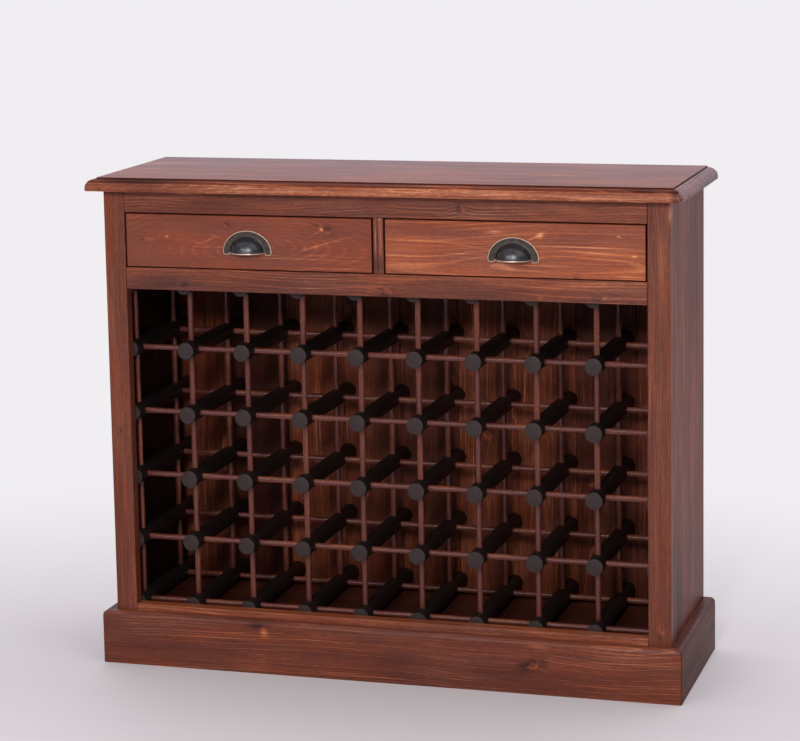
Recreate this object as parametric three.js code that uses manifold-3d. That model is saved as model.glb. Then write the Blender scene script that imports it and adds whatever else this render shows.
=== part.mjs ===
// Wine cabinet in stained pine: a bottle rack of round bars under two drawers and a moulded top.
// Millimetres, +Z up, front face towards -Y. The origin is on the floor under the middle of the cabinet.

import * as THREE from "three";
import { mergeVertices } from "three/addons/utils/BufferGeometryUtils.js";
import Module from "manifold-3d";

const wasm = await Module();
wasm.setup();

// Fits

const joint_gap = 0.3; // between two pieces that are glued, nailed or screwed together
const run_gap = 0.3; // between a drawer's running edge and what it runs on
const cut_over = 1; // how far a cut runs past the face that it opens

// Carcass

const carcass_width = 1000;
const carcass_depth = 312; // from the face frame's front to the back boards' rear face
const carcass_height = 847; // from the floor to the underside of the top
const side_thickness = 16;
const housing_depth = 5; // how far the floor panel and the deck go into the sides
const floor_top = 86.7;
const floor_thickness = 16;
const deck_thickness = 20;

// Top

const top_thickness = 23;
const top_overhang_front = 28;
const top_overhang_side = 25;
const top_border = 17; // from the moulding's tip in to the foot of the step
const top_step = 2.5;
const top_nose = 5; // the upright part under the quarter round
const top_ease = 1;
const top_arc_steps = 8;

// Face frame

const frame_thickness = 22;
const frame_ease = 1.2;
const stile_width = 38.5;
const top_rail_height = 38.5;
const drawer_opening_height = 96.5;
const mid_rail_height = 38.5;
const bottom_rail_height = 35.5;
const divider_width = 18;
const tenon_length = 14;
const tenon_thickness = 8;
const tenon_shoulder = 6;
const divider_tenon_length = 8;

// Plinth

const plinth_height = 94.5;
const plinth_projection_side = 21; // of the plinth from the carcass
const plinth_projection_front = 18;
const plinth_round = 9; // of the top outer edge
const plinth_corner = 3; // of the upright corners
const plinth_arc_steps = 5;
const corner_arc_steps = 3;
const cross_piece_thickness = 18;

// Back

const back_board_count = 9;
const back_board_thickness = 12;
const back_board_clearance = 60; // from the floor to the lower ends
const back_rebate_width = 8; // how far the boards lap over each side panel's edge
const tongue_length = 5;
const tongue_thickness = 4;
const tongue_gap = 0.4;
const board_ease = 1.2;

// Drawers

const drawer_gap_side = 3;
const drawer_gap_below = 2;
const drawer_gap_above = 2.5;
const drawer_front_thickness = 20;
const drawer_front_ease = 1.2;
const drawer_front_lap = 10; // what is left of the front's thickness over the ends of the sides
const drawer_side_inset = 1; // of the box from the front's end
const drawer_side_thickness = 12;
const drawer_side_height = 80;
const drawer_back_drop = 7; // of the back's upper edge under the sides'
const drawer_bottom_thickness = 5;
const drawer_bottom_height = 8; // from the sides' lower edge to the bottom panel
const drawer_groove_depth = 6;
const drawer_back_housing = 4;

// What guides the drawers

const guide_height = 30;
const guide_gap = 0.8;
const kicker_width = 40;
const kicker_gap = 1.5;
const stop_width = 60;
const stop_height = 20;
const stop_thickness = 10;

// Cup pull, seen from the front

const pull_half_width = 44;
const pull_height = 37.5; // from the straight lower edge to the crown
const pull_base_drop = 16.3; // of that edge under the middle of the drawer front
const pull_plate_thickness = 2;
const pull_ear_half_width = 6.5;
const pull_ear_height = 4.8;
const dome_half_width = 29.5;
const dome_height = 27;
const dome_reach = 24; // out from the drawer front
const dome_wall = 2;
const dome_foot = 4.5; // how far the dome's foot spreads over the plate
const dome_foot_reach = 4.2;
const lip_height = 2.6;
const lip_bulge = 0.7;
const pull_arc_steps = 16;
const ear_arc_steps = 6;
const dome_segments = 20;
const post_spacing = 40;
const post_height = 9; // of the posts' axes over the straight lower edge
const post_radius = 3.6;
const post_bore_depth = 9;
const screw_radius = 2;
const screw_gap = 0.3;
const screw_head_radius = 4.2;
const screw_head_height = 2.6;
const screw_sides = 10;

// Bottle rack

const rack_columns = 10;
const rack_rows = 6;
const bar_radius = 15;
const bar_flat_angle = THREE.MathUtils.degToRad(36); // of the four wide facets, which the dowels meet
const rack_gap_side = 0.5; // to each side panel
const rack_gap_end = 1; // to the face frame and to the back boards
const dowel_radius = 5;
const dowel_sides = 6;
const dowel_plug = 6; // how deep a dowel sits in a bar
const dowel_gap = 0.3; // round a plug and past its end
const front_dowel_setback = 31; // of the front dowels' axes from the bars' front ends
const rear_dowel_setback = 67; // of the rear dowels' axes from the bars' rear ends

// Places that follow from the sizes

const half_width = carcass_width / 2;
const front_y = (top_overhang_front - carcass_depth) / 2;
const back_y = front_y + carcass_depth;
const frame_back_y = front_y + frame_thickness;
const board_front_y = back_y - back_board_thickness;
const inner_back_y = board_front_y - joint_gap;
const inner_half = half_width - side_thickness;
const stile_inner_x = half_width - stile_width;
const top_rail_bottom = carcass_height - top_rail_height;
const mid_rail_top = top_rail_bottom - drawer_opening_height;
const mid_rail_bottom = mid_rail_top - mid_rail_height;
const floor_bottom = floor_top - floor_thickness;
const bottom_rail_top = floor_bottom + bottom_rail_height;
const deck_bottom = mid_rail_top - deck_thickness;

// Materials

const finish = (color, roughness, metalness = 0) =>
  new THREE.MeshStandardMaterial({ color, roughness, metalness });
const stained_pine = finish("#7a4634", 0.45);
const drawer_pine = finish("#8f5038", 0.42);
const inside_pine = finish("#6a3b2b", 0.6);
const raw_pine = finish("#c19a6c", 0.65);
const plywood = finish("#b08a5e", 0.7);
const black_bar = finish("#2b2423", 0.5);
const antique_metal = finish("#2e2a28", 0.4, 0.8);
const screw_steel = finish("#8d8f92", 0.35, 0.9);

// Solids

function solid_of(geometry) {
  const bare = geometry.index ? geometry.toNonIndexed() : geometry.clone();
  bare.deleteAttribute("normal");
  bare.deleteAttribute("uv");
  const merged = mergeVertices(bare);
  return new wasm.Manifold(
    new wasm.Mesh({
      numProp: 3,
      vertProperties: merged.attributes.position.array,
      triVerts: new Uint32Array(merged.index.array),
    }),
  );
}

function geometry_of(solid) {
  const mesh = solid.getMesh();
  const geometry = new THREE.BufferGeometry();
  geometry.setAttribute("position", new THREE.BufferAttribute(mesh.vertProperties, 3));
  geometry.setIndex(new THREE.BufferAttribute(mesh.triVerts, 1));
  geometry.computeVertexNormals();
  return geometry;
}

const join = (solids) => solids.reduce((whole, piece) => whole.add(piece));
const cut = (body, tools) => tools.reduce((rest, tool) => rest.subtract(tool), body);

// A box between two corners, grown on every side by an allowance.
function box_geometry([x0, y0, z0], [x1, y1, z1], grow = 0) {
  const box = new THREE.BoxGeometry(x1 - x0 + 2 * grow, y1 - y0 + 2 * grow, z1 - z0 + 2 * grow);
  return box.translate((x0 + x1) / 2, (y0 + y1) / 2, (z0 + z1) / 2);
}

const box = (low, high, grow) => solid_of(box_geometry(low, high, grow));

// A body through rings with the same number of points, each ring convex and running counterclockwise
// when it is looked at from the side of the next one.
function loft(rings) {
  const count = rings[0].length;
  const points = rings.flat(2);
  const faces = [];
  for (let ring = 0; ring + 1 < rings.length; ring++) {
    for (let i = 0; i < count; i++) {
      const a = ring * count + i;
      const b = ring * count + ((i + 1) % count);
      faces.push(a, b, b + count, a, b + count, a + count);
    }
  }
  const last = (rings.length - 1) * count;
  for (let i = 1; i + 1 < count; i++) {
    faces.push(0, i + 1, i);
    faces.push(last, last + i, last + i + 1);
  }
  const geometry = new THREE.BufferGeometry();
  geometry.setAttribute("position", new THREE.Float32BufferAttribute(points, 3));
  geometry.setIndex(faces);
  return geometry;
}

// A prism over an outline in the x-y plane.
function upright_prism(outline, z0, z1) {
  const shape = new THREE.Shape(outline.map(([x, y]) => new THREE.Vector2(x, y)));
  return new THREE.ExtrudeGeometry(shape, { depth: z1 - z0, bevelEnabled: false }).translate(0, 0, z0);
}

// A prism over an outline in the x-z plane.
const level_prism = (outline, y0, y1) => upright_prism(outline, -y1, -y0).rotateX(Math.PI / 2);

// A board that runs along X, with both long front edges eased.
function eased_rail(x0, x1, z0, z1, ease) {
  const section = (x) => [
    [x, frame_back_y, z0],
    [x, frame_back_y, z1],
    [x, front_y + ease, z1],
    [x, front_y, z1 - ease],
    [x, front_y, z0 + ease],
    [x, front_y + ease, z0],
  ];
  return solid_of(loft([section(x0), section(x1)]));
}

// Points of an elliptical arc about a centre, both ends included.
function arc(centre, radii, from, to, steps) {
  return Array.from({ length: steps + 1 }, (_, i) => {
    const angle = from + ((to - from) * i) / steps;
    return [centre[0] + radii[0] * Math.cos(angle), centre[1] + radii[1] * Math.sin(angle)];
  });
}

// Top board: rectangles stacked up the moulding's profile, with the back edge left straight.

function top_panel() {
  const left = -half_width - top_overhang_side;
  const front = front_y - top_overhang_front;
  const round_height = top_thickness - top_step - top_nose;
  const profile = [[top_ease, carcass_height + joint_gap]];
  const quarter = Math.PI / 2;
  const round = arc([top_border, carcass_height + top_nose], [top_border, round_height],
    2 * quarter, quarter, top_arc_steps);
  profile.push([0, carcass_height + top_ease + joint_gap], ...round);
  profile.push([top_border, carcass_height + top_thickness - top_ease]);
  profile.push([top_border + top_ease, carcass_height + top_thickness]);
  return loft(profile.map(([inset, z]) => [
    [left + inset, front + inset, z],
    [-left - inset, front + inset, z],
    [-left - inset, back_y, z],
    [left + inset, back_y, z],
  ]));
}

// Face frame

const rail_spans = {
  top_rail: [top_rail_bottom, carcass_height],
  mid_rail: [mid_rail_bottom, mid_rail_top],
  bottom_rail: [floor_bottom, bottom_rail_top],
};
const tenon_y0 = front_y + (frame_thickness - tenon_thickness) / 2;
const tenon_y1 = tenon_y0 + tenon_thickness;

// The tenon at one end of a rail; side is -1 at the left and 1 at the right.
function rail_tenon([z0, z1], side, grow = 0) {
  const root = side * (stile_inner_x - joint_gap - cut_over);
  const tip = side * (stile_inner_x + tenon_length);
  const xs = [Math.min(root, tip), Math.max(root, tip)];
  return box([xs[0], tenon_y0, z0 + tenon_shoulder], [xs[1], tenon_y1, z1 - tenon_shoulder], grow);
}

function rail(span) {
  const end = stile_inner_x - joint_gap;
  const board = eased_rail(-end, end, span[0], span[1], frame_ease);
  return join([board, rail_tenon(span, -1), rail_tenon(span, 1)]);
}

function stile(side) {
  const outer = side * half_width;
  const inner = side * stile_inner_x;
  const outline = [
    [outer, frame_back_y],
    ...arc([outer - side * plinth_corner, front_y + plinth_corner], [side * plinth_corner, -plinth_corner],
      0, Math.PI / 2, corner_arc_steps),
    [inner + side * frame_ease, front_y],
    [inner, front_y + frame_ease],
    [inner, frame_back_y],
  ];
  const board = solid_of(upright_prism(outline, 0, carcass_height));
  return cut(board, Object.values(rail_spans).map((span) => rail_tenon(span, side, joint_gap)));
}

// The divider's stub tenons go into the rails over and under it.
function divider_tenon(z, direction, grow = 0) {
  const half = divider_width / 2 - tenon_shoulder;
  const tip = z + direction * divider_tenon_length;
  const root = z - direction * (joint_gap + cut_over);
  return box([-half, tenon_y0, Math.min(tip, root)], [half, tenon_y1, Math.max(tip, root)], grow);
}

function drawer_divider() {
  const half = divider_width / 2;
  const outline = [
    [half, frame_back_y],
    [-half, frame_back_y],
    [-half, front_y + frame_ease],
    [frame_ease - half, front_y],
    [half - frame_ease, front_y],
    [half, front_y + frame_ease],
  ];
  const post = solid_of(upright_prism(outline, mid_rail_top + joint_gap, top_rail_bottom - joint_gap));
  return join([post, divider_tenon(mid_rail_top, -1), divider_tenon(top_rail_bottom, 1)]);
}

// Sides, floor and deck

const floor_span = [floor_bottom, floor_top];
const deck_span = [deck_bottom, mid_rail_top];

function shelf([z0, z1]) {
  const end = inner_half + housing_depth;
  return box([-end, frame_back_y + joint_gap, z0], [end, inner_back_y, z1]);
}

function side_panel(side) {
  const xs = [side * half_width, side * inner_half].sort((a, b) => a - b);
  const panel = box([xs[0], frame_back_y + joint_gap, 0], [xs[1], back_y, carcass_height]);
  const rebate_x = half_width - side_thickness + back_rebate_width;
  const rebate_xs = [side * rebate_x, side * (inner_half - cut_over)].sort((a, b) => a - b);
  const rebate = box(
    [rebate_xs[0], inner_back_y, back_board_clearance - joint_gap],
    [rebate_xs[1], back_y + cut_over, carcass_height + cut_over],
  );
  const housings = [floor_span, deck_span].map(([z0, z1]) => {
    const deep = side * (inner_half + housing_depth + joint_gap);
    const housing_xs = [deep, side * (inner_half - cut_over)].sort((a, b) => a - b);
    return box(
      [housing_xs[0], frame_back_y, z0 - joint_gap],
      [housing_xs[1], inner_back_y + cut_over, z1 + joint_gap],
    );
  });
  return cut(panel, [rebate, ...housings]);
}

// Plinth: one moulded section round three sides, mitred at the front corners. The front board is thinner.

const plinth_outer_x = half_width + plinth_projection_side;
const plinth_outer_y = front_y - plinth_projection_front;
const plinth_thickness = plinth_projection_side - joint_gap;
const plinth_front_share = (plinth_projection_front - joint_gap) / plinth_thickness;
const plinth_mitre_y = (inset) => plinth_outer_y + plinth_front_share * inset;

const plinth_section = [
  [0, 0],
  ...arc([plinth_round, plinth_height - plinth_round], [plinth_round, plinth_round],
    Math.PI, Math.PI / 2, plinth_arc_steps),
  [plinth_thickness, plinth_height],
  [plinth_thickness, 0],
];

// The outline that eases the two upright corners of all three boards.
function plinth_footprint() {
  const centre_y = plinth_outer_y + plinth_corner;
  const centre_x = plinth_outer_x - plinth_corner;
  const radii = [plinth_corner, plinth_corner];
  const turn = Math.PI / 2;
  const outline = [
    ...arc([-centre_x, centre_y], radii, 2 * turn, 3 * turn, corner_arc_steps),
    ...arc([centre_x, centre_y], radii, 3 * turn, 4 * turn, corner_arc_steps),
    [plinth_outer_x, back_y + cut_over],
    [-plinth_outer_x, back_y + cut_over],
  ];
  return solid_of(upright_prism(outline, -cut_over, plinth_height + cut_over));
}

function plinth_front() {
  const end = (side) =>
    plinth_section.map(([inset, z]) => [side * (plinth_outer_x - inset), plinth_mitre_y(inset), z]);
  return solid_of(loft([end(1), end(-1)])).intersect(plinth_footprint());
}

function plinth_side(side) {
  const at = (y_of) => plinth_section.map(([inset, z]) => [side * (plinth_outer_x - inset), y_of(inset), z]);
  const mitre = at((inset) => plinth_mitre_y(inset) + joint_gap);
  const rear = at(() => back_y);
  const rings = side < 0 ? [mitre, rear] : [rear, mitre];
  return solid_of(loft(rings)).intersect(plinth_footprint());
}

function plinth_back() {
  const end = inner_half - joint_gap;
  const y1 = inner_back_y;
  return box([-end, y1 - cross_piece_thickness, 0], [end, y1, floor_bottom - joint_gap]);
}

// Back boards with tongues and grooves

const back_half = inner_half + back_rebate_width - joint_gap;
const board_pitch = (2 * back_half) / back_board_count;

function back_board(index) {
  const x0 = -back_half + index * board_pitch;
  const first = index === 0;
  const last = index === back_board_count - 1;
  const x1 = x0 + board_pitch - (last ? 0 : joint_gap);
  const middle = (board_front_y + back_y) / 2;
  const tongue_half = tongue_thickness / 2;
  const groove_half = tongue_half + tongue_gap;
  const groove = [
    [x0, middle + groove_half],
    [x0 + tongue_length + tongue_gap, middle + groove_half],
    [x0 + tongue_length + tongue_gap, middle - groove_half],
    [x0, middle - groove_half],
  ];
  const tongue = [
    [x1, middle - tongue_half],
    [x1 + tongue_length, middle - tongue_half],
    [x1 + tongue_length, middle + tongue_half],
    [x1, middle + tongue_half],
  ];
  const outline = [
    [x0, board_front_y + board_ease],
    [x0 + board_ease, board_front_y],
    [x1 - board_ease, board_front_y],
    [x1, board_front_y + board_ease],
    ...(last ? [] : tongue),
    [x1, back_y],
    [x0, back_y],
    ...(first ? [] : groove),
  ];
  return upright_prism(outline, back_board_clearance, carcass_height);
}

// Drawers

const opening_inner_x = divider_width / 2;
const front_half = (stile_inner_x - opening_inner_x) / 2 - drawer_gap_side;
const drawer_centre_x = (stile_inner_x + opening_inner_x) / 2;
const front_z0 = mid_rail_top + drawer_gap_below;
const front_z1 = top_rail_bottom - drawer_gap_above;
const front_rear_y = front_y + drawer_front_thickness;
const lap_y = front_y + drawer_front_lap;
const box_half = front_half - drawer_side_inset;
const box_inner_half = box_half - drawer_side_thickness;
const box_z0 = mid_rail_top + run_gap;
const box_z1 = box_z0 + drawer_side_height;
const box_back_y = inner_back_y - stop_thickness - run_gap;
const back_front_y = box_back_y - drawer_side_thickness;
const panel_z0 = box_z0 + drawer_bottom_height;
const panel_z1 = panel_z0 + drawer_bottom_thickness;
const pull_base_z = (front_z0 + front_z1) / 2 - pull_base_drop;
const post_z = pull_base_z + post_height;

// The bottom panel in its grooves, or with an allowance the room that the grooves leave for it.
function bottom_panel(grow = 0) {
  const end = box_inner_half + drawer_groove_depth - joint_gap;
  const y0 = front_rear_y - drawer_groove_depth + joint_gap;
  return box([-end, y0, panel_z0], [end, box_back_y, panel_z1], grow);
}

function drawer_back(grow = 0) {
  const end = box_inner_half + drawer_back_housing - joint_gap;
  const z0 = panel_z1 + joint_gap;
  return box([-end, back_front_y, z0], [end, box_back_y, box_z1 - drawer_back_drop], grow);
}

function drawer_side(side) {
  const xs = [side * box_half, side * box_inner_half].sort((a, b) => a - b);
  const board = box([xs[0], lap_y + joint_gap, box_z0], [xs[1], box_back_y, box_z1]);
  return cut(board, [bottom_panel(joint_gap), drawer_back(joint_gap)]);
}

// A cylinder along Y between two places.
function rod(x, z, radius, y0, y1, sides) {
  const geometry = new THREE.CylinderGeometry(radius, radius, y1 - y0, sides);
  return solid_of(geometry.translate(x, (y0 + y1) / 2, z));
}

const post_xs = [-post_spacing / 2, post_spacing / 2];

function drawer_front() {
  const ring = (inset, y) => [
    [-front_half + inset, y, front_z0 + inset],
    [-front_half + inset, y, front_z1 - inset],
    [front_half - inset, y, front_z1 - inset],
    [front_half - inset, y, front_z0 + inset],
  ];
  const board = solid_of(loft([
    ring(drawer_front_ease, front_y),
    ring(0, front_y + drawer_front_ease),
    ring(0, front_rear_y),
  ]));
  const laps = [-1, 1].map((side) => {
    const xs = [side * (box_inner_half - joint_gap), side * (front_half + cut_over)].sort((a, b) => a - b);
    return box([xs[0], lap_y, front_z0 - cut_over], [xs[1], front_rear_y + cut_over, front_z1 + cut_over]);
  });
  const bores = post_xs.map((x) =>
    rod(x, post_z, screw_radius + screw_gap, front_y - cut_over, front_rear_y + cut_over, screw_sides));
  return cut(board, [...laps, bottom_panel(joint_gap), ...bores]);
}

// Cup pull: an eared plate and a quarter-ellipsoid hood, hollow from below and behind.

const plate_rear_y = front_y - joint_gap;

// A half ellipsoid of the hood's kind in front of the plate, standing on the straight lower edge.
function hood(half_wide, reach, high) {
  const ball = new THREE.SphereGeometry(1, dome_segments, dome_segments / 2).rotateX(Math.PI / 2);
  ball.scale(half_wide, reach, high).translate(0, plate_rear_y, pull_base_z);
  const room = box(
    [-pull_half_width, plate_rear_y - dome_reach - cut_over, pull_base_z],
    [pull_half_width, plate_rear_y, pull_base_z + pull_height],
  );
  return solid_of(ball).intersect(room);
}

function pull_plate() {
  const half_turn = Math.PI;
  const ear_radii = [pull_ear_half_width, pull_ear_height];
  const ear_x = pull_half_width - pull_ear_half_width;
  const outline = [
    ...arc([0, 0], [pull_half_width, pull_height], 0, half_turn, pull_arc_steps),
    ...arc([-ear_x, 0], ear_radii, half_turn, 2 * half_turn, ear_arc_steps).slice(1),
    ...arc([ear_x, 0], ear_radii, half_turn, 2 * half_turn, ear_arc_steps).slice(0, -1),
  ];
  const plate = level_prism(outline, plate_rear_y - pull_plate_thickness, plate_rear_y);
  return solid_of(plate.translate(0, 0, pull_base_z));
}

// The rolled lip under the hood's open edge.
function pull_lip() {
  const roll = new THREE.CylinderGeometry(1, 1, lip_height, dome_segments).rotateX(Math.PI / 2);
  const wide = dome_half_width + lip_bulge;
  roll.scale(wide, dome_reach + lip_bulge, 1).translate(0, plate_rear_y, pull_base_z);
  const room = box(
    [-pull_half_width, plate_rear_y - dome_reach - lip_bulge - cut_over, pull_base_z - lip_height],
    [pull_half_width, plate_rear_y, pull_base_z + lip_height],
  );
  return solid_of(roll).intersect(room);
}

// What is hollow under the hood, also behind it and through the lip.
function pull_hollow() {
  const wide = dome_half_width - dome_wall;
  const reach = dome_reach - dome_wall;
  const ball = new THREE.SphereGeometry(1, dome_segments, dome_segments / 2).rotateX(Math.PI / 2);
  ball.scale(wide, reach, dome_height - dome_wall).translate(0, plate_rear_y, pull_base_z);
  const well = new THREE.CylinderGeometry(1, 1, lip_height, dome_segments).rotateX(Math.PI / 2);
  well.scale(wide, reach, 1).translate(0, plate_rear_y, pull_base_z - lip_height / 2);
  return join([solid_of(ball), solid_of(well)]);
}

function cup_pull() {
  const shell = join([
    pull_plate(),
    hood(dome_half_width, dome_reach, dome_height),
    hood(dome_half_width + dome_foot, dome_foot_reach, dome_height + dome_foot),
    pull_lip(),
  ]);
  const hollow = cut(shell, [pull_hollow()]);
  const whole_hood = hood(dome_half_width, dome_reach, dome_height);
  const posts = post_xs.map((x) =>
    rod(x, post_z, post_radius, plate_rear_y - dome_reach, plate_rear_y, screw_sides).intersect(whole_hood));
  const bores = post_xs.map((x) =>
    rod(x, post_z, screw_radius + screw_gap, plate_rear_y - post_bore_depth, plate_rear_y + cut_over,
      screw_sides));
  return cut(join([hollow, ...posts]), bores);
}

function pull_screw(index) {
  const x = post_xs[index];
  const head_y = front_rear_y + joint_gap;
  const tip_y = plate_rear_y - post_bore_depth + screw_gap;
  const shank = rod(x, post_z, screw_radius, tip_y, head_y + screw_head_height / 2, screw_sides);
  const head = rod(x, post_z, screw_head_radius, head_y, head_y + screw_head_height, screw_sides);
  return join([shank, head]);
}

// Guides beside the drawers, battens over them and blocks behind them

function drawer_guide(x0, x1) {
  return box(
    [x0, frame_back_y + joint_gap, mid_rail_top + joint_gap],
    [x1, inner_back_y - joint_gap, mid_rail_top + guide_height],
  );
}

const guide_reach = drawer_centre_x + box_half + guide_gap;
const middle_guide_half = drawer_centre_x - box_half - guide_gap;

function kicker(side) {
  const x = side * drawer_centre_x;
  return box(
    [x - kicker_width / 2, frame_back_y + joint_gap, box_z1 + kicker_gap],
    [x + kicker_width / 2, inner_back_y - joint_gap, carcass_height],
  );
}

function drawer_stop(side) {
  const x = side * drawer_centre_x;
  return box(
    [x - stop_width / 2, box_back_y + run_gap, mid_rail_top + joint_gap],
    [x + stop_width / 2, inner_back_y - joint_gap, mid_rail_top + stop_height],
  );
}

// Bottle rack: a column is six bars with the dowels between them and those that reach to its right.

const bar_y0 = frame_back_y + rack_gap_end;
const bar_y1 = board_front_y - rack_gap_end;
const rack_x0 = -inner_half + rack_gap_side + bar_radius;
const rack_z0 = floor_top + joint_gap + bar_radius;
const rack_z1 = deck_bottom - joint_gap - bar_radius;
const column_pitch = (-2 * rack_x0) / (rack_columns - 1);
const row_pitch = (rack_z1 - rack_z0) / (rack_rows - 1);
const dowel_ys = [bar_y0 + front_dowel_setback, bar_y1 - rear_dowel_setback];
const column_x = (column) => rack_x0 + column * column_pitch;
const row_z = (row) => rack_z0 + row * row_pitch;

// A bar is round but for its facets: four wide ones for the dowels, with two narrow ones between each pair.
function bar(x, z) {
  const corner_radius = bar_radius / Math.cos(bar_flat_angle / 2);
  const angles = [0, 1, 2, 3].flatMap((quarter) => {
    const middle = (quarter * Math.PI) / 2;
    return [middle - bar_flat_angle / 2, middle + bar_flat_angle / 2, middle + Math.PI / 4];
  });
  const corner = (angle) => [x + corner_radius * Math.cos(angle), z + corner_radius * Math.sin(angle)];
  const outline = angles.map(corner);
  return solid_of(level_prism(outline, bar_y0, bar_y1));
}

// Dowels have two corners towards the front and the back, so that they stay within a bar's wide facet.
function level_dowel(x0, x1, y, z, radius) {
  const geometry = new THREE.CylinderGeometry(radius, radius, x1 - x0, dowel_sides).rotateY(Math.PI / 2);
  return solid_of(geometry.rotateZ(Math.PI / 2).translate((x0 + x1) / 2, y, z));
}

function upright_dowel(x, y, z0, z1) {
  const geometry = new THREE.CylinderGeometry(dowel_radius, dowel_radius, z1 - z0, dowel_sides);
  return solid_of(geometry.rotateX(Math.PI / 2).translate(x, y, (z0 + z1) / 2));
}

function rack_column(column) {
  const x = column_x(column);
  const rows = Array.from({ length: rack_rows }, (_, row) => row);
  const root = bar_radius - dowel_plug;
  const bars = rows.map((row) => bar(x, row_z(row)));
  const uprights = rows.slice(1).flatMap((row) =>
    dowel_ys.map((y) => upright_dowel(x, y, row_z(row - 1) + root, row_z(row) - root)));
  const levels = rows.flatMap((row) =>
    dowel_ys.map((y) => level_dowel(x + root, x + column_pitch - root, y, row_z(row), dowel_radius)));
  const socket_x0 = x - bar_radius - cut_over;
  const socket_x1 = x - root + dowel_gap;
  const sockets = rows.flatMap((row) =>
    dowel_ys.map((y) => level_dowel(socket_x0, socket_x1, y, row_z(row), dowel_radius + dowel_gap)));
  const last = column === rack_columns - 1;
  const body = join([...bars, ...uprights, ...(last ? [] : levels)]);
  return column === 0 ? body : cut(body, sockets);
}

// Assembly

const cabinet = new THREE.Group();

function place(group, name, shape, material) {
  const geometry = shape.isBufferGeometry ? shape : geometry_of(shape);
  const mesh = new THREE.Mesh(geometry, material);
  mesh.name = name;
  group.add(mesh);
}

const two_digits = (number) => String(number).padStart(2, "0");
const sides = { left: -1, right: 1 };

place(cabinet, "top_panel", top_panel(), stained_pine);
for (const [name, side] of Object.entries(sides)) {
  place(cabinet, `side_panel_${name}`, side_panel(side), stained_pine);
  place(cabinet, `stile_${name}`, stile(side), stained_pine);
  place(cabinet, `plinth_${name}`, plinth_side(side), stained_pine);
  place(cabinet, `kicker_${name}`, kicker(side), raw_pine);
  place(cabinet, `drawer_stop_${name}`, drawer_stop(side), raw_pine);
}
const divider_mortises = [
  divider_tenon(mid_rail_top, -1, joint_gap),
  divider_tenon(top_rail_bottom, 1, joint_gap),
];
place(cabinet, "top_rail", cut(rail(rail_spans.top_rail), divider_mortises), stained_pine);
place(cabinet, "mid_rail", cut(rail(rail_spans.mid_rail), divider_mortises), stained_pine);
place(cabinet, "bottom_rail", rail(rail_spans.bottom_rail), stained_pine);
place(cabinet, "drawer_divider", drawer_divider(), stained_pine);
place(cabinet, "plinth_front", plinth_front(), stained_pine);
place(cabinet, "plinth_back", plinth_back(), raw_pine);
place(cabinet, "floor_panel", shelf(floor_span), inside_pine);
place(cabinet, "drawer_deck", shelf(deck_span), inside_pine);
place(cabinet, "drawer_guide_left", drawer_guide(-inner_half + joint_gap, -guide_reach), raw_pine);
place(cabinet, "drawer_guide_middle", drawer_guide(-middle_guide_half, middle_guide_half), raw_pine);
place(cabinet, "drawer_guide_right", drawer_guide(guide_reach, inner_half - joint_gap), raw_pine);
for (let index = 0; index < back_board_count; index++) {
  place(cabinet, `back_board_${two_digits(index + 1)}`, back_board(index), inside_pine);
}
for (let column = 0; column < rack_columns; column++) {
  place(cabinet, `rack_column_${two_digits(column + 1)}`, rack_column(column), black_bar);
}
for (const [name, side] of Object.entries(sides)) {
  const drawer = new THREE.Group();
  drawer.position.x = side * drawer_centre_x;
  place(drawer, `drawer_${name}_front`, drawer_front(), drawer_pine);
  place(drawer, `drawer_${name}_side_left`, drawer_side(-1), raw_pine);
  place(drawer, `drawer_${name}_side_right`, drawer_side(1), raw_pine);
  place(drawer, `drawer_${name}_back`, drawer_back(), raw_pine);
  place(drawer, `drawer_${name}_bottom`, bottom_panel(), plywood);
  place(drawer, `cup_pull_${name}`, cup_pull(), antique_metal);
  place(drawer, `pull_screw_${name}_1`, pull_screw(0), screw_steel);
  place(drawer, `pull_screw_${name}_2`, pull_screw(1), screw_steel);
  cabinet.add(drawer);
}

export default cabinet;
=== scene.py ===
"""A wine cabinet in stained pine: a bottle rack under two drawers, a moulded top and a mitred plinth."""

import math
from dataclasses import dataclass

import bmesh
import bpy
from mathutils import Matrix, Vector


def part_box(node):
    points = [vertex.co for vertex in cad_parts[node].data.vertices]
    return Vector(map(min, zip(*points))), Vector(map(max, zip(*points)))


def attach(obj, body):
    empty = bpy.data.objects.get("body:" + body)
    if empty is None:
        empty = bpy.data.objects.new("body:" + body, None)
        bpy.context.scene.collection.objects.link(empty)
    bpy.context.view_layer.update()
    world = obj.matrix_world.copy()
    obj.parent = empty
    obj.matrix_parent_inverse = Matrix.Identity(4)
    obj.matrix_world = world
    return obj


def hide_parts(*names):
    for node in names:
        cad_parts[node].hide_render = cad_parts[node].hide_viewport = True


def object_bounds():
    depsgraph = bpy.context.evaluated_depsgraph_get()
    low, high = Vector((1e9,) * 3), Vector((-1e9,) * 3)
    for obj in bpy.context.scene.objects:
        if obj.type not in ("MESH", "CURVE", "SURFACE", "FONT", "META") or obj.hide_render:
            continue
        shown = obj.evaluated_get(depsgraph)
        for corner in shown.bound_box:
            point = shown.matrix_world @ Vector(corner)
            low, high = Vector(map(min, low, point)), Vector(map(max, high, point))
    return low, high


bl_info = {
    "name": "Stained Pine Wine Cabinet",
    "version": (1, 0, 0),
    "blender": (4, 5, 0),
    "location": "3D View > Sidebar > Wine Cabinet",
    "description": "Makes a wine cabinet's boards, bottle rack, drawers and cup pulls, and a stage",
    "category": "Object",
}

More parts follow.
